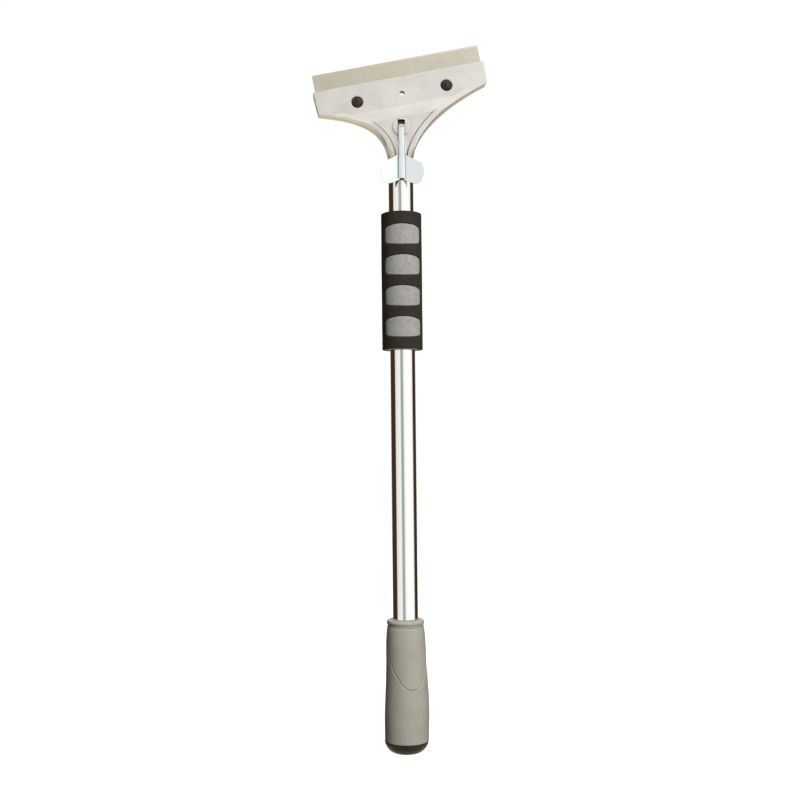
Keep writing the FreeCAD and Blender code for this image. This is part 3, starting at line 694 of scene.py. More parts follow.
@dataclass(frozen=True)
class SoftFoam(Finish):
    """Closed-cell foam."""

    cells: float = 2600.0

    def fill(self, graph: Graph, shader: bpy.types.Node, place: Socket) -> None:
        """Cells and pores.

        Args:
            graph: the tree that the nodes go into.
            shader: the principled shader.
            place: object coordinates in metres.
        """
        foam = FoamCells.use(graph, Vector=place, Cells=self.cells)
        dust = SettledDust.use(graph, Vector=place, Amount=self.dust)["Mask"]
        tone = graph.mix(foam["Tone"], self.shade(0.88), self.shade(1.1))
        tone = graph.mix(graph.math("MULTIPLY", foam["Pore"], 0.6), tone, self.shade(0.45))
        tone = graph.mix(dust, tone, (0.33, 0.31, 0.28))
        gloss = graph.math("SUBTRACT", self.roughness, graph.math("MULTIPLY", foam["Tone"], 0.08))
        self.feed(graph, shader, Base_Color=tone, Roughness=gloss, Specular_IOR_Level=0.1,
                  Normal=self.relief(graph, foam["Height"]))


@dataclass(frozen=True)
class SoftTouch(Finish):
    """Soft moulded rubber with a satin skin and small marks."""

    texture: float = 2200.0
    marks: float = 0.1

    def fill(self, graph: Graph, shader: bpy.types.Node, place: Socket) -> None:
        """Spark-eroded grain, slow tone changes and specks.

        Args:
            graph: the tree that the nodes go into.
            shader: the principled shader.
            place: object coordinates in metres.
        """
        fine = graph.noise(place, self.texture, 3.0, 0.6)
        slow = graph.remap(graph.noise(place, 70.0, 4.0, 0.55), 0.3, 0.7)
        rubbed = graph.remap(graph.noise(place, 24.0, 3.0, 0.6), 0.4, 0.7)
        speck = Specks.use(graph, Vector=place, Share=self.marks)["Mask"]
        dust = SettledDust.use(graph, Vector=place, Amount=self.dust)["Mask"]
        tone = graph.mix(slow, self.shade(0.95), self.shade(1.04))
        tone = graph.mix(graph.math("MULTIPLY", speck, 0.45), tone, self.shade(0.4))
        tone = graph.mix(dust, tone, (0.5, 0.48, 0.43))
        gloss = graph.math("SUBTRACT", self.roughness, graph.math("MULTIPLY", rubbed, 0.09))
        height = graph.math("SUBTRACT", fine, graph.math("MULTIPLY", speck, 1.5))
        self.feed(graph, shader, Base_Color=tone, Roughness=gloss, Specular_IOR_Level=0.16,
                  Normal=self.relief(graph, height))


@dataclass(frozen=True)
class DarkCoat(Finish):
    """Dark coated metal or moulded plastic."""

    texture: float = 1500.0

    def fill(self, graph: Graph, shader: bpy.types.Node, place: Socket) -> None:
        """Fine grain with rubbed edges.

        Args:
            graph: the tree that the nodes go into.
            shader: the principled shader.
            place: object coordinates in metres.
        """
        fine = graph.noise(place, self.texture, 3.0, 0.6)
        wear = EdgeWear.use(graph, Vector=place, Radius=self.edge_mm * MM, Amount=self.wear)
        slow = graph.remap(graph.noise(place, 90.0, 3.0, 0.5), 0.3, 0.7)
        dust = SettledDust.use(graph, Vector=place, Amount=self.dust)["Mask"]
        tone = graph.mix(slow, self.shade(0.85), self.shade(1.15))
        tone = graph.mix(wear["Mask"], tone, tuple(min(1.0, c * 2.6 + 0.02) for c in self.colour))
        tone = graph.mix(dust, tone, (0.3, 0.28, 0.25))
        gloss = graph.math("SUBTRACT", self.roughness, graph.math("MULTIPLY", slow, 0.07))
        self.feed(graph, shader, Base_Color=tone, Metallic=self.metallic, Roughness=gloss,
                  Specular_IOR_Level=0.25, Normal=self.relief(graph, fine, wear["Normal"]))


CAST = CastMetal("cast metal", (0.84, 0.815, 0.775), roughness=0.4, metallic=1.0, bump=0.25, bump_mm=0.05,
                 wear=0.5)
HEAD = replace(CAST, name="cast head", marks=((-1.3, 583.3), (-52.9, 568.3), (63.4, 589.0)))
BLADE = GroundSteel("blade steel", (0.70, 0.65, 0.54), roughness=0.3, metallic=1.0, bump=0.15, bump_mm=0.01,
                    edge_mm=0.12, turn=11.4, wear=0.4)
FIXING = GroundSteel("zinc fixings", (0.72, 0.73, 0.74), roughness=0.33, metallic=1.0, bump=0.2, bump_mm=0.02,
                     edge_mm=0.2, along=400.0, across=900.0, stained=0.15)
SPRING = GroundSteel("spring wire", (0.5, 0.5, 0.5), roughness=0.35, metallic=1.0, bump=0.1, bump_mm=0.01,
                     edge_mm=0.1, along=900.0, across=900.0)
# The lever's recesses get painted shade.
LEVER = BrightPlate("bright zinc", (0.90, 0.95, 0.97), roughness=0.3, metallic=1.0, bump=0.12, bump_mm=0.05,
                    edge_mm=0.25, smear=0.08, wear=0.4, recess_shade=0.8)
CHROME = BrightPlate("chrome plate", (0.93, 0.93, 0.91), roughness=0.045, metallic=1.0, bump=0.02,
                     bump_mm=0.01, edge_mm=0.15, smear=0.03, wear=0.1, dust=0.05)
RIVET = BrightPlate("rivet", (0.72, 0.72, 0.71), roughness=0.3, metallic=1.0, bump=0.1, bump_mm=0.03)
STUD = DarkCoat("stud coating", (0.022, 0.013, 0.010), roughness=0.26, bump=0.1, bump_mm=0.02, wear=0.1,
                dust=0.02)
FOAM_BLACK = SoftFoam("black foam", (0.0235, 0.0205, 0.0165), roughness=0.85, bump=0.6, bump_mm=0.12,
                      dust=0.06)
FOAM_GREY = SoftFoam("grey foam", (0.242, 0.237, 0.222), roughness=0.85, bump=0.55, bump_mm=0.1, dust=0.04)
FOAM_PALE = SoftFoam("pale foam", (0.74, 0.71, 0.63), roughness=0.9, bump=0.6, bump_mm=0.15, dust=0.02)
GRIP = SoftTouch("soft grey", (0.282, 0.274, 0.236), roughness=0.5, bump=0.15, bump_mm=0.03, dust=0.04)
PANEL = SoftTouch("soft grey panel", (0.287, 0.280, 0.244), roughness=0.48, bump=0.15, bump_mm=0.03,
                  dust=0.04)
LINER = DarkCoat("liner plastic", (0.08, 0.08, 0.08), roughness=0.55)
CAP = DarkCoat("cap plastic", (0.012, 0.010, 0.009), roughness=0.4, bump=0.2, bump_mm=0.04, wear=0.1,
               dust=0.05)


# ---- meshes -----------------------------------------------------------------------------------
class Shape:
    """Ways to turn numbers into meshes that ride on the frame."""

    @staticmethod
    def build(name: str, points: np.ndarray, faces: list[tuple[int, ...]],
              finish: Finish) -> bpy.types.Object:
        """Make a smooth-shaded object.

        Args:
            name: the piece's name.
            points: vertices in millimetres.
            faces: vertex numbers of each face.
            finish: its finish.

        Returns:
            The new object.
        """
        mesh = bpy.data.meshes.new(name)
        mesh.from_pydata((np.asarray(points, float) * MM).tolist(), [], faces)
        mesh.polygons.foreach_set("use_smooth", [True] * len(mesh.polygons))
        mesh.materials.append(finish.material())
        mesh.validate()
        obj = bpy.data.objects.new(name, mesh)
        bpy.context.scene.collection.objects.link(obj)
        return obj

    @staticmethod
    def place(obj: bpy.types.Object, body: Body, slot: str, *nodes: str) -> bpy.types.Object:
        """Tie a piece to the frame.

        Args:
            obj: the piece.
            body: the body it moves with.
            slot: a material slot name; not used.
            nodes: the frame nodes it stands for.

        Returns:
            The piece.
        """
        if nodes:
            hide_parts(*nodes)
        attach(obj, body.value)
        return obj

    @staticmethod
    def ring_grid(rings: np.ndarray) -> list[tuple[int, ...]]:
        """Faces of a closed skin over rings that are closed themselves, with first and last ring joined.

        Args:
            rings: points of shape (rings, points per ring, 3).

        Returns:
            The faces.
        """
        count, around = rings.shape[:2]
        faces = []
        for i in range(count):
            nxt = (i + 1) % count
            for j in range(around):
                k = (j + 1) % around
                faces.append((i * around + j, i * around + k, nxt * around + k, nxt * around + j))
        return faces

    @staticmethod
    def through(points: Points, steps: int) -> Points:
        """A smooth line through points.

        Args:
            points: the points, in order.
            steps: how many pieces each span gets.

        Returns:
            The finer line.
        """
        pts = [np.array(p, float) for p in points]
        pts = [2 * pts[0] - pts[1], *pts, 2 * pts[-1] - pts[-2]]
        out: Points = []
        for i in range(1, len(pts) - 2):
            p0, p1, p2, p3 = pts[i - 1:i + 3]
            for s in range(steps):
                t = s / steps
                p = 0.5 * (2 * p1 + (p2 - p0) * t + (2 * p0 - 5 * p1 + 4 * p2 - p3) * t * t
                           + (3 * p1 - p0 - 3 * p2 + p3) * t ** 3)
                out.append((float(p[0]), float(p[1])))
        out.append((float(pts[-2][0]), float(pts[-2][1])))
        return out

    @staticmethod
    def arc(x: float, z: float, radius: float, start: float, end: float, steps: int) -> Points:
        """Points on an arc.

        Args:
            x: its centre.
            z: its centre.
            radius: its radius.
            start: start angle in degrees.
            end: end angle in degrees.
            steps: how many pieces.

        Returns:
            The points, both ends included.
        """
        turns = [math.radians(start + (end - start) * i / steps) for i in range(steps + 1)]
        return [(x + radius * math.cos(turn), z + radius * math.sin(turn)) for turn in turns]


class Outline:
    """A closed outline on a round surface, in arc length and height."""

    def __init__(self, points: Points) -> None:
        """Take an unrolled outline.

        Args:
            points: arc length and height, in millimetres.
        """
        self.line = np.array(points, float)
        self.centre = (self.line.min(0) + self.line.max(0)) / 2

    @staticmethod
    def unroll(points: Points, radius: float, reach: float = 90.0) -> Points:
        """Turn points seen square on into arc length and height.

        Args:
            points: sideways distance and height.
            radius: the surface's radius.
            reach: the angle beyond which points are held back, in degrees.

        Returns:
            The unrolled points.
        """
        limit = math.sin(math.radians(reach))
        return [(radius * math.asin(max(-limit, min(limit, x / radius))), z) for x, z in points]

    def inside_distance(self, where: np.ndarray) -> np.ndarray:
        """How far points lie inside the outline, negative outside.

        Args:
            where: unrolled points, shape (n, 2).

        Returns:
            The distances.
        """
        best = np.full(len(where), 1e9)
        inside = np.zeros(len(where), bool)
        near = np.where((where > self.line.min(0) - 4).all(1) & (where < self.line.max(0) + 4).all(1))[0]
        p = where[near]
        dist, odd = np.full(len(near), 1e9), np.zeros(len(near), bool)
        for a, b in zip(self.line, np.roll(self.line, -1, 0)):
            ab = b - a
            t = np.clip(((p - a) @ ab) / max(float(ab @ ab), 1e-12), 0, 1)
            dist = np.minimum(dist, np.linalg.norm(p - a - t[:, None] * ab, axis=1))
            crosses = (a[1] > p[:, 1]) != (b[1] > p[:, 1])
            at = a[0] + (p[:, 1] - a[1]) * ab[0] / (ab[1] if abs(ab[1]) > 1e-12 else 1e-12)
            odd ^= crosses & (p[:, 0] < at)
        best[near], inside[near] = dist, odd
        return np.where(inside, best, -best)


@dataclass
class Inlay:
    """A soft-edged panel that follows a round surface.

    The panel is made of rings that shrink from its outline to its middle.
    """

    name: str
    outline: Outline
    finish: Finish
    depth: float
    rim: float
    rings: int = 16
    gap: float = 0.12
    crown: float = 0.0

    def points(self, surface: "Surface") -> tuple[np.ndarray, list[tuple[int, ...]]]:
        """The panel's vertices and faces.

        Args:
            surface: what it lies on.

        Returns:
            Vertices in millimetres and the faces.
        """
        line, centre = self.outline.line, self.outline.centre
        reach = np.linalg.norm(line - centre, axis=1)
        layers: list[tuple[np.ndarray, float]] = []
        for inset, drop in ((self.rim * 1.2, self.depth), (self.gap, self.depth),
                            (self.gap, self.depth * 0.6), (self.gap, self.rim * 0.62),
                            (self.gap + self.rim * 0.13, self.rim * 0.29),
                            (self.gap + self.rim * 0.38, self.rim * 0.08), (self.gap + self.rim, 0.0)):
            layers.append((1 - inset / reach, drop))
        base = layers[-1][0]
        for i in range(1, self.rings):
            share = 1 - i / self.rings
            layers.append((base * share, -self.crown * (1 - share ** 2)))
        rows = []
        for scale, drop in layers:
            flat = centre + (line - centre) * np.asarray(scale)[:, None]
            rows.append(surface.at(flat, -drop))
        count = len(line)
        points = np.concatenate([*rows, surface.at(centre[None, :], self.crown),
                                 surface.at(centre[None, :], -self.depth)])
        faces: list[tuple[int, ...]] = []
        for i in range(len(rows) - 1):
            for j in range(count):
                k = (j + 1) % count
                faces.append((i * count + j, i * count + k, (i + 1) * count + k, (i + 1) * count + j))
        last, top, low = (len(rows) - 1) * count, len(points) - 2, len(points) - 1
        for j in range(count):
            k = (j + 1) % count
            faces.append((last + j, last + k, top))
            faces.append((k, j, low))
        return points, faces


class Surface:
    """A round surface about the handle axis whose radius changes with height."""

    def __init__(self, radius: float, turn: float = 0.0) -> None:
        """A plain cylinder.

        Args:
            radius: its radius.
            turn: degrees from the front to where sideways distance is 0.
        """
        self.radius = radius
        self.turn = turn

    def radii(self, heights: np.ndarray) -> tuple[np.ndarray, np.ndarray]:
        """Radius and sideways shift at heights.

        Args:
            heights: heights in millimetres.

        Returns:
            Two arrays.
        """
        return np.full(len(heights), self.radius), np.zeros(len(heights))

    def at(self, flat: np.ndarray, lift: float | np.ndarray) -> np.ndarray:
        """Points on the surface.

        Args:
            flat: unrolled points of shape (n, 2).
            lift: distance off the surface.

        Returns:
            Points in the row frame, in millimetres.
        """
        radius, shift = self.radii(flat[:, 1])
        angle = flat[:, 0] / self.radius + math.radians(self.turn)
        r = radius + lift
        return np.column_stack([r * np.sin(angle) + shift, -r * np.cos(angle), flat[:, 1]])


# ---- foam hand grip --------------------------------------------------------------------------------
@dataclass
class FoamGrip:
    """The foam sleeve with its pale core and two columns of grey windows. Sizes in millimetres."""

    bottom: float = 348.9
    top: float = 468.7
    radius: float = 17.8
    skin: float = 1.7
    bore: float = 11.02
    edge: float = 0.7
    window_pitch: float = 26.9
    window_height: float = 18.0
    window_half: float = 15.1
    window_crown: float = 3.2
    window_sag: float = 1.4
    window_count: int = 4
    around: int = 256
    lip: float = 0.75
    recess: float = 1.25

    def window(self, centre: float) -> Outline:
        """One window's outline.

        Args:
            centre: the height of its middle.

        Returns:
            The outline on the sleeve.
        """
        half, tall = self.window_half, self.window_height / 2
        shoulder, corner, sag = tall - self.window_crown, 3.0, self.window_sag
        arch = [(half, shoulder - 1.4), (half * 0.93, shoulder + 0.75), (half * 0.72, shoulder + 2.05),
                (half * 0.4, tall - 0.32)]
        crown = Shape.through([*arch, (0.0, tall), *[(-x, z) for x, z in reversed(arch)]], 7)
        foot = corner + sag * 0.75 - tall
        left = [(-half, z) for z in np.linspace(shoulder - 2.2, foot + 0.6, 8)]
        right = [(half, z) for z in np.linspace(foot + 0.6, shoulder - 2.2, 8)]
        end = half - corner - 0.9
        low = [(x, sag * (x / half) ** 2 - tall) for x in np.linspace(-end, end, 20)]
        ring = [*crown, *left, *Shape.arc(corner - half, foot, corner, 180, 262, 7), *low,
                *Shape.arc(half - corner, foot, corner, 278, 360, 7), *right]
        return Outline(Outline.unroll([(x, centre + z) for x, z in ring], self.radius))

    def centres(self) -> list[float]:
        """Heights of the windows' middles, from the top down.

        Returns:
            The heights in millimetres.
        """
        middle = (self.bottom + self.top) / 2 - 0.6
        first = (self.window_count - 1) / 2
        return [middle + self.window_pitch * (first - i) for i in range(self.window_count)]

    def sleeve(self, outlines: list[Outline]) -> bpy.types.Object:
        """The dark skin, sunk under the windows.

        Args:
            outlines: the window outlines of one column.

        Returns:
            The new piece.
        """
        inner = self.radius - self.skin + 0.02
        e = self.edge
        heights = [self.bottom + e * (1 - math.cos(a)) for a in np.linspace(0, math.pi / 2, 5)]
        drops = [e * (1 - math.sin(a)) for a in np.linspace(0, math.pi / 2, 5)]
        middle = np.linspace(self.bottom + e, self.top - e, 272)[1:-1]
        level = [*heights, *middle, *[self.bottom + self.top - h for h in reversed(heights)]]
        fall = [*drops, *[0.0] * len(middle), *reversed(drops)]
        angles = np.linspace(0, 2 * math.pi, self.around, endpoint=False)
        rows = []
        rnd = np.random.default_rng(4)
        wobble = rnd.normal(0, 0.018, 8)
        for z, drop in zip(level, fall):
            r = np.full(self.around, self.radius - drop)
            for turn in (0.0, math.pi):
                own = (angles - turn + math.pi) % (2 * math.pi) - math.pi
                flat = np.column_stack([own * self.radius, np.full(self.around, z)])
                for outline in outlines:
                    if abs(z - outline.centre[1]) < self.window_height / 2 + 2:
                        depth = outline.inside_distance(flat)
                        share = np.clip((depth + self.lip) / self.lip, 0, 1)
                        r -= self.recess * (1 - np.sqrt(np.clip(1 - share ** 2, 0, 1)))
            for k, size in enumerate(wobble):
                r += size * np.cos(angles * (k + 2) + z * 0.03 * k)
            rows.append(np.column_stack([r * np.sin(angles), -r * np.cos(angles), np.full(self.around, z)]))
        for z in (self.top, self.bottom):
            level_z = np.full(self.around, z)
            rows.append(np.column_stack([inner * np.sin(angles), -inner * np.cos(angles), level_z]))
        rings = np.array(rows)
        return Shape.build("foam_sleeve", rings.reshape(-1, 3), Shape.ring_grid(rings), FOAM_BLACK)

    def core(self) -> bpy.types.Object:
        """The pale core, seen at both ends.

        Returns:
            The new piece.
        """
        outer = self.radius - self.skin
        low, high = self.bottom + 0.25, self.top - 0.25
        profile = [(self.bore, low + 0.4), (self.bore + 0.3, low), (outer - 0.3, low), (outer, low + 0.3),
                   (outer, high - 0.3), (outer - 0.3, high), (self.bore + 0.3, high), (self.bore, high - 0.4)]
        return Lathe("foam_tube", profile, FOAM_PALE, 128).build()

    def build(self) -> None:
        """Make the skin, the core and every window."""
        outlines = [self.window(c) for c in self.centres()]
        sleeve = Shape.place(self.sleeve(outlines), Body.HANDLE, "foam_black", "foam_skin")
        core = Shape.place(self.core(), Body.HANDLE, "foam_core", "foam_core")
        for side in Side:
            word = side.name.lower()
            for i, outline in enumerate(outlines, 1):
                pad = Inlay(f"window_{word}_{i}", outline, FOAM_GREY, 1.5, 0.8, crown=-0.02)
                points, faces = pad.points(Surface(self.radius - 0.16, side.value))
                made = Shape.build(pad.name, points, faces, FOAM_GREY)
                Shape.place(made, Body.HANDLE, "foam_grey", f"pad_{word}_{i}")


@dataclass
class Lathe:
    """A closed ring turned about the handle axis from radius-height pairs in millimetres."""

    name: str
    profile: Points
    finish: Finish
    around: int = 128

    def build(self) -> bpy.types.Object:
        """Turn the profile.

        Returns:
            The new piece.
        """
        angles = np.linspace(0, 2 * math.pi, self.around, endpoint=False)
        rings = np.array([np.column_stack([r * np.sin(angles), -r * np.cos(angles), np.full(self.around, z)])
                          for r, z in self.profile])
        return Shape.build(self.name, rings.reshape(-1, 3), Shape.ring_grid(rings), self.finish)


# ---- tube ---------------------------------------------------------------------------------------
@dataclass
class HandleTube:
    """The plated tube. Sizes in millimetres."""

    radius: float = 11.0
    wall: float = 1.0
    bottom: float = 18.0
    top: float = 518.0

    def build(self) -> None:
        """Make the tube with broken edges at its ends."""
        inner, c = self.radius - self.wall, 0.15
        outer = [(self.radius, z) for z in np.linspace(self.bottom + c, self.top - c, 60)]
        profile = [(inner + c, self.bottom), (self.radius - c, self.bottom), *outer,
                   (self.radius - c, self.top), (inner + c, self.top), (inner, self.top - c),
                   (inner, self.bottom + c)]
        tube = Lathe("tube_shell", profile, CHROME, 192).build()
        Shape.place(tube, Body.HANDLE, "tube_chrome", "handle_tube")


# ---- end grip -----------------------------------------------------------------------------------
class GripSurface(Surface):
    """The outside of the soft end sleeve."""

    def __init__(self, sections: Points, shifts: list[float], turn: float = 0.0) -> None:
        """Take the sleeve's sections.

        Args:
            sections: height and radius pairs from the bottom up.
            shifts: the sideways shift at each section.
            turn: degrees from the front to where sideways distance is 0.
        """
        super().__init__(GRIP_ROUND, turn)
        line = np.array(Shape.through(sections, 12))
        self.heights, self.sizes = line[:, 0], line[:, 1]
        moved = np.array(Shape.through([(h, s) for (h, _), s in zip(sections, shifts)], 12))
        self.shifts = moved[:, 1]

    def radii(self, heights: np.ndarray) -> tuple[np.ndarray, np.ndarray]:
        """Radius and sideways shift at heights.

        Args:
            heights: heights in millimetres.

        Returns:
            Two arrays.
        """
        return np.interp(heights, self.heights, self.sizes), np.interp(heights, self.heights, self.shifts)


@dataclass
class EndGrip:
    """The soft end sleeve, its bead and its tongue-shaped thumb panel. Sizes in millimetres."""

    seam: float = 10.4
    length: float = 104.1
    bore: float = 11.03
    liner: float = 13.62
    liner_top: float = 111.0
    bead_top: float = 114.5
    bead_radius: float = 16.4
    panel_turn: float = 11.5
    panel_tip: float = 56.4
    panel_top: float = 108.5
    panel_half: float = 17.6
    panel_reach: float = 81.5
    lip: float = 0.9
    recess: float = 1.15
    around: int = 240

    def sections(self) -> tuple[Points, list[float]]:
        """Height and radius pairs of the sleeve, and its sideways shifts.

        Returns:
            The pairs, and the shifts.
        """
        rows = ((0.0, 19.05, 0.2), (0.0955, 19.2, 0.3), (0.2197, 19.4, 0.5), (0.3438, 19.0, 0.7),
                (0.4967, 18.2, 0.6), (0.6304, 17.5, 0.3), (0.7832, 17.25, 0.1), (0.893, 16.6, 0.0),
                (0.9513, 15.8, 0.0))
        return [(self.seam + self.length * share, r) for share, r, _ in rows], [s for _, _, s in rows]

    def tongue(self) -> Outline:
        """The thumb panel's outline, straight across at the top.

        Returns:
            The outline on the sleeve.
        """
        tall, top, corner = self.panel_top - self.panel_tip, self.panel_top, 1.2
        rows = [(1.0, 0.76), (0.975, 0.57), (0.91, 0.43), (0.745, 0.26), (0.48, 0.10), (0.24, 0.022)]
        left = [(-self.panel_half * w, self.panel_tip + tall * h) for w, h in rows]
        right = [(-x, z) for x, z in reversed(left)]
        edge = Shape.through([*left, (0.0, self.panel_tip), *right], 8)
        curve = Outline.unroll(edge, GRIP_ROUND, self.panel_reach)
        half, start = curve[-1][0], curve[-1][1]
        side = [float(z) for z in np.linspace(start, top - corner, 12)[1:-1]]
        ring = [*curve, *[(half, z) for z in side], *Shape.arc(half - corner, top - corner, corner, 0, 90, 6),
                *[(float(x), top) for x in np.linspace(half - corner - 0.8, corner - half + 0.8, 34)],
                *Shape.arc(corner - half, top - corner, corner, 90, 180, 6),
                *[(-half, z) for z in reversed(side)]]
        return Outline(ring)

    def sleeve(self, surface: GripSurface, outline: Outline) -> bpy.types.Object:
        """The sleeve with a soft sunk seat for the panel.

        Args:
            surface: its outside.
            outline: the panel's outline.

        Returns:
            The new piece.
        """
        angles = np.linspace(0, 2 * math.pi, self.around, endpoint=False)
        levels = [*np.linspace(self.seam + 0.02, self.seam + 0.6, 4),
                  *np.linspace(self.seam + 1.0, self.seam + 98.6, 270)]
        own = (angles - math.radians(self.panel_turn) + math.pi) % (2 * math.pi) - math.pi
        rows = []
        for z in levels:
            radius, shift = surface.radii(np.array([z]))
            r = np.full(self.around, radius[0])
            r -= 0.35 * max(0.0, 1 - (z - self.seam) / 0.6) ** 2
            if z > self.panel_tip - 3:
                depth = outline.inside_distance(np.column_stack([own * GRIP_ROUND, np.full(self.around, z)]))
                share = np.clip((depth + self.lip) / self.lip, 0, 1)
                r -= self.recess * (1 - np.sqrt(np.clip(1 - share ** 2, 0, 1)))
            level_z = np.full(self.around, z)
            rows.append(np.column_stack([r * np.sin(angles) + shift[0], -r * np.cos(angles), level_z]))
        top, big = self.bead_top, self.bead_radius
        low = top - 5.2
        bead = [(15.66, low - 0.35), (15.52, low + 0.05), (15.62, low + 0.4),
                *Shape.arc(big - 2.3, top - 2.35, 2.3, -52, 84, 16), (13.2, top + 0.0), (11.5, top - 0.05),
                (self.bore, top - 0.4), (self.bore, self.liner_top), (self.liner, self.liner_top),
                (self.liner, self.seam + 0.4), (self.liner + 0.4, self.seam), (18.0, self.seam)]
        for r, z in bead:
            rows.append(np.column_stack([r * np.sin(angles), -r * np.cos(angles), np.full(self.around, z)]))
        rings = np.array(rows)
        return Shape.build("end_sleeve", rings.reshape(-1, 3), Shape.ring_grid(rings), GRIP)

    def build(self) -> None:
        """Make the sleeve and the panel."""
        sections, shifts = self.sections()
        outline = self.tongue()
        sleeve = self.sleeve(GripSurface(sections, shifts), outline)
        Shape.place(sleeve, Body.HANDLE, "grip_grey", "end_grip")
        panel = Inlay("thumb_rest", outline, PANEL, 1.3, 0.9, rings=26, gap=0.1)
        seat = GripSurface([(h, r - 0.02) for h, r in sections], shifts, self.panel_turn)
        points, faces = panel.points(seat)
        made = Shape.build(panel.name, points, faces, PANEL)
        Shape.place(made, Body.HANDLE, "grip_panel", "thumb_panel")


# ---- frame pieces that keep their own mesh ----------------------------------------------------------
class Dress:
    """Gives frame pieces their finishes."""

    FINISHES: dict[str, Finish] = {
        "head_body": HEAD, "clamp_plate": CAST, "scraper_blade": BLADE, "locating_stud_left": STUD,
        "locating_stud_right": STUD, "draw_bolt": FIXING, "bolt_washer": FIXING, "bolt_nut": FIXING,
        "release_spring": SPRING, "lever_pivot_pin": FIXING, "clamp_lever": LEVER, "neck_rivet": RIVET,
        "grip_core": LINER, "end_cap": CAP,
    }

    def apply(self) -> None:
        """Swap each piece's material."""
        for name, finish in self.FINISHES.items():
            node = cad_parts[name]
            node.data.materials.clear()
            node.data.materials.append(finish.material())


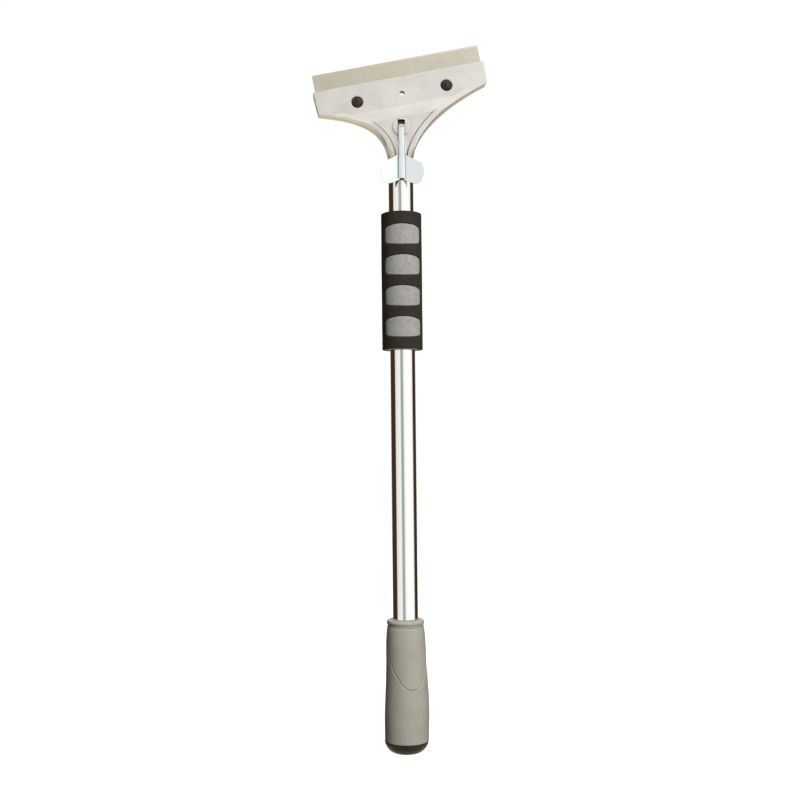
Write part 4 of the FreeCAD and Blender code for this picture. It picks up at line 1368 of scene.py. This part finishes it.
# ---- studio -------------------------------------------------------------------------------------
@dataclass
class Studio:
    """Pale floor, soft lights, the surroundings that plating reflects, and the camera."""

    aim: tuple[float, float, float] = (-2.75, 0.0, 305.0)
    distance: float = 973.3
    azimuth: float = -4.0
    elevation: float = -2.3
    roll: float = 0.61
    lens: float = 50.0
    floor_radius: float = 1.9
    ambient: float = 0.1

    def direction(self, azimuth: float, elevation: float) -> Vector:
        """The way from the object towards a place around it.

        Args:
            azimuth: degrees from the front towards the right.
            elevation: degrees above level.

        Returns:
            A unit vector.
        """
        a, e = math.radians(azimuth), math.radians(elevation)
        return Vector((math.sin(a) * math.cos(e), -math.cos(a) * math.cos(e), math.sin(e)))

    def camera(self) -> None:
        """Place the camera."""
        back = self.direction(self.azimuth, self.elevation)
        right = Vector((math.cos(math.radians(self.azimuth)), math.sin(math.radians(self.azimuth)), 0.0))
        up = back.cross(right)
        c, s = math.cos(math.radians(self.roll)), math.sin(math.radians(self.roll))
        right, up = right * c - up * s, right * s + up * c
        place = (Vector(self.aim) + back * self.distance) * MM
        data = bpy.data.cameras.new("camera")
        data.lens, data.sensor_width = self.lens, 36.0
        data.clip_start, data.clip_end = 0.05, 20.0
        cam = bpy.data.objects.new("camera", data)
        bpy.context.scene.collection.objects.link(cam)
        axes = Matrix((right, up, back)).transposed().to_4x4()
        cam.matrix_world = Matrix.Translation(place) @ axes
        bpy.context.scene.camera = cam

    def lamp(self, name: str, azimuth: float, elevation: float, distance: float, size: float, watts: float,
             colour: Colour = (1.0, 1.0, 1.0), reflected: bool = False) -> None:
        """Add one square soft light aimed at the handle's middle.

        Args:
            name: its name.
            azimuth: degrees from the front towards the right.
            elevation: degrees above level.
            distance: metres from the aim.
            size: its width in metres.
            watts: its power.
            colour: its colour.
            reflected: whether shiny pieces show it.
        """
        data = bpy.data.lights.new(name, "AREA")
        data.shape, data.size, data.energy, data.color = "SQUARE", size, watts, colour
        lamp = bpy.data.objects.new(name, data)
        back = self.direction(azimuth, elevation)
        lamp.location = Vector((0.0, 0.0, 0.36)) + back * distance
        lamp.rotation_mode = "QUATERNION"
        lamp.rotation_quaternion = back.to_track_quat("Z", "Y")
        lamp.visible_glossy = reflected
        lamp.visible_camera = False
        bpy.context.scene.collection.objects.link(lamp)

    def floor(self) -> None:
        """A round pale floor that shiny pieces don't show."""
        steps = 96
        points = [(self.floor_radius / MM * math.cos(2 * math.pi * i / steps),
                   self.floor_radius / MM * math.sin(2 * math.pi * i / steps), -0.05) for i in range(steps)]
        material = bpy.data.materials.new("floor")
        material.use_nodes = True
        graph = Graph(material.node_tree)
        shader = material.node_tree.nodes["Principled BSDF"]
        shader.inputs["Base Color"].default_value = (0.25, 0.25, 0.25, 1.0)
        shader.inputs["Roughness"].default_value = 0.9
        shader.inputs["Specular IOR Level"].default_value = 0.0
        shader.inputs["Emission Color"].default_value = (1.0, 1.0, 1.0, 1.0)
        shader.inputs["Emission Strength"].default_value = 0.97
        fine = graph.noise(graph.add("TexCoord").outputs["Object"], 40.0, 3.0)
        bump = graph.add("Bump", {"Strength": 0.05, "Distance": 0.001, "Height": fine}).outputs[0]
        graph.tree.links.new(bump, shader.inputs["Normal"])
        mesh = bpy.data.meshes.new("floor")
        mesh.from_pydata((np.array(points) * MM).tolist(), [], [tuple(range(steps))])
        mesh.materials.append(material)
        floor = bpy.data.objects.new("floor", mesh)
        floor.visible_glossy = False
        floor.visible_diffuse = False
        bpy.context.scene.collection.objects.link(floor)

    def surroundings(self) -> None:
        """White to the camera, a soft even fill, and a bright front with dark flanks for reflections."""
        world = bpy.data.worlds.new("surroundings")
        bpy.context.scene.world = world
        world.use_nodes = True
        world.node_tree.nodes.clear()
        graph = Graph(world.node_tree)
        way = graph.add("TexCoord").outputs["Generated"]
        x, y, z = graph.add("SeparateXYZ", {0: way}).outputs[:3]
        turn = graph.math("ARCTAN2", x, graph.math("MULTIPLY", y, -1.0))
        share = graph.math("ADD", graph.math("DIVIDE", turn, 2 * math.pi), 0.5)
        ramp = graph.add("ValToRGB", {0: share})
        brown, warm = (0.050, 0.027, 0.016), (0.72, 0.66, 0.52)
        stops = [(-180, warm), (-158, warm), (-150, brown), (-83, brown), (-76, (0.80, 0.80, 0.78)),
                 (-60, (0.86, 0.86, 0.85)), (-33, (0.97, 0.97, 0.96)), (-25, (0.52, 0.52, 0.50)),
                 (-17, (0.40, 0.40, 0.385)), (-7, (0.32, 0.32, 0.31)), (0, (0.90, 0.90, 0.88)),
                 (20, (1.08, 1.08, 1.07)), (60, (1.12, 1.12, 1.12)), (85, (0.95, 0.95, 0.96)), (96, brown),
                 (150, brown), (158, warm), (180, warm)]
        band = ramp.color_ramp.elements
        while len(band) < len(stops):
            band.new(0.5)
        for item, (degrees, colour) in zip(band, stops):
            item.position = degrees / 360.0 + 0.5
            item.color = (*colour, 1.0)
        high = graph.remap(z, 0.25, 0.7, 1.0, 1.4)
        low = graph.remap(z, -0.3, -0.55)
        around = graph.mix(low, ramp.outputs[0], (0.86, 0.81, 0.62))
        shiny = graph.add("Background", {0: around, 1: high})
        fill = graph.add("Background", {0: (1.0, 0.99, 0.97, 1.0), 1: self.ambient})
        seen = graph.add("Background", {0: (1.0, 1.0, 1.0, 1.0), 1: 1.02})
        path = graph.add("LightPath").outputs
        inner = graph.add("MixShader", {0: path["Is Glossy Ray"], 1: fill.outputs[0], 2: shiny.outputs[0]})
        outer = graph.add("MixShader", {0: path["Is Camera Ray"], 1: inner.outputs[0], 2: seen.outputs[0]})
        out = graph.add("OutputWorld")
        graph.tree.links.new(outer.outputs[0], out.inputs[0])

    def build(self) -> None:
        """Set up everything around the object."""
        self.floor()
        self.surroundings()
        self.lamp("key", 23.0, 18.0, 1.7, 0.8, 46.0, (1.0, 0.99, 0.96))
        self.lamp("top", 10.0, 82.0, 1.6, 1.4, 20.0)
        self.lamp("rear", 175.0, 30.0, 2.0, 1.2, 26.0)
        self.camera()
        bpy.context.scene.view_settings.view_transform = "Standard"


def main() -> None:
    """Build the scene in order."""
    logging.basicConfig(level=logging.INFO, format="%(name)s: %(message)s")
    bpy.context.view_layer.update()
    LOG.info("frame pieces")
    Dress().apply()
    LOG.info("tube")
    HandleTube().build()
    LOG.info("foam grip")
    FoamGrip().build()
    LOG.info("end grip")
    EndGrip().build()
    LOG.info("studio")
    Studio().build()


if __name__ == "__main__":
    main()
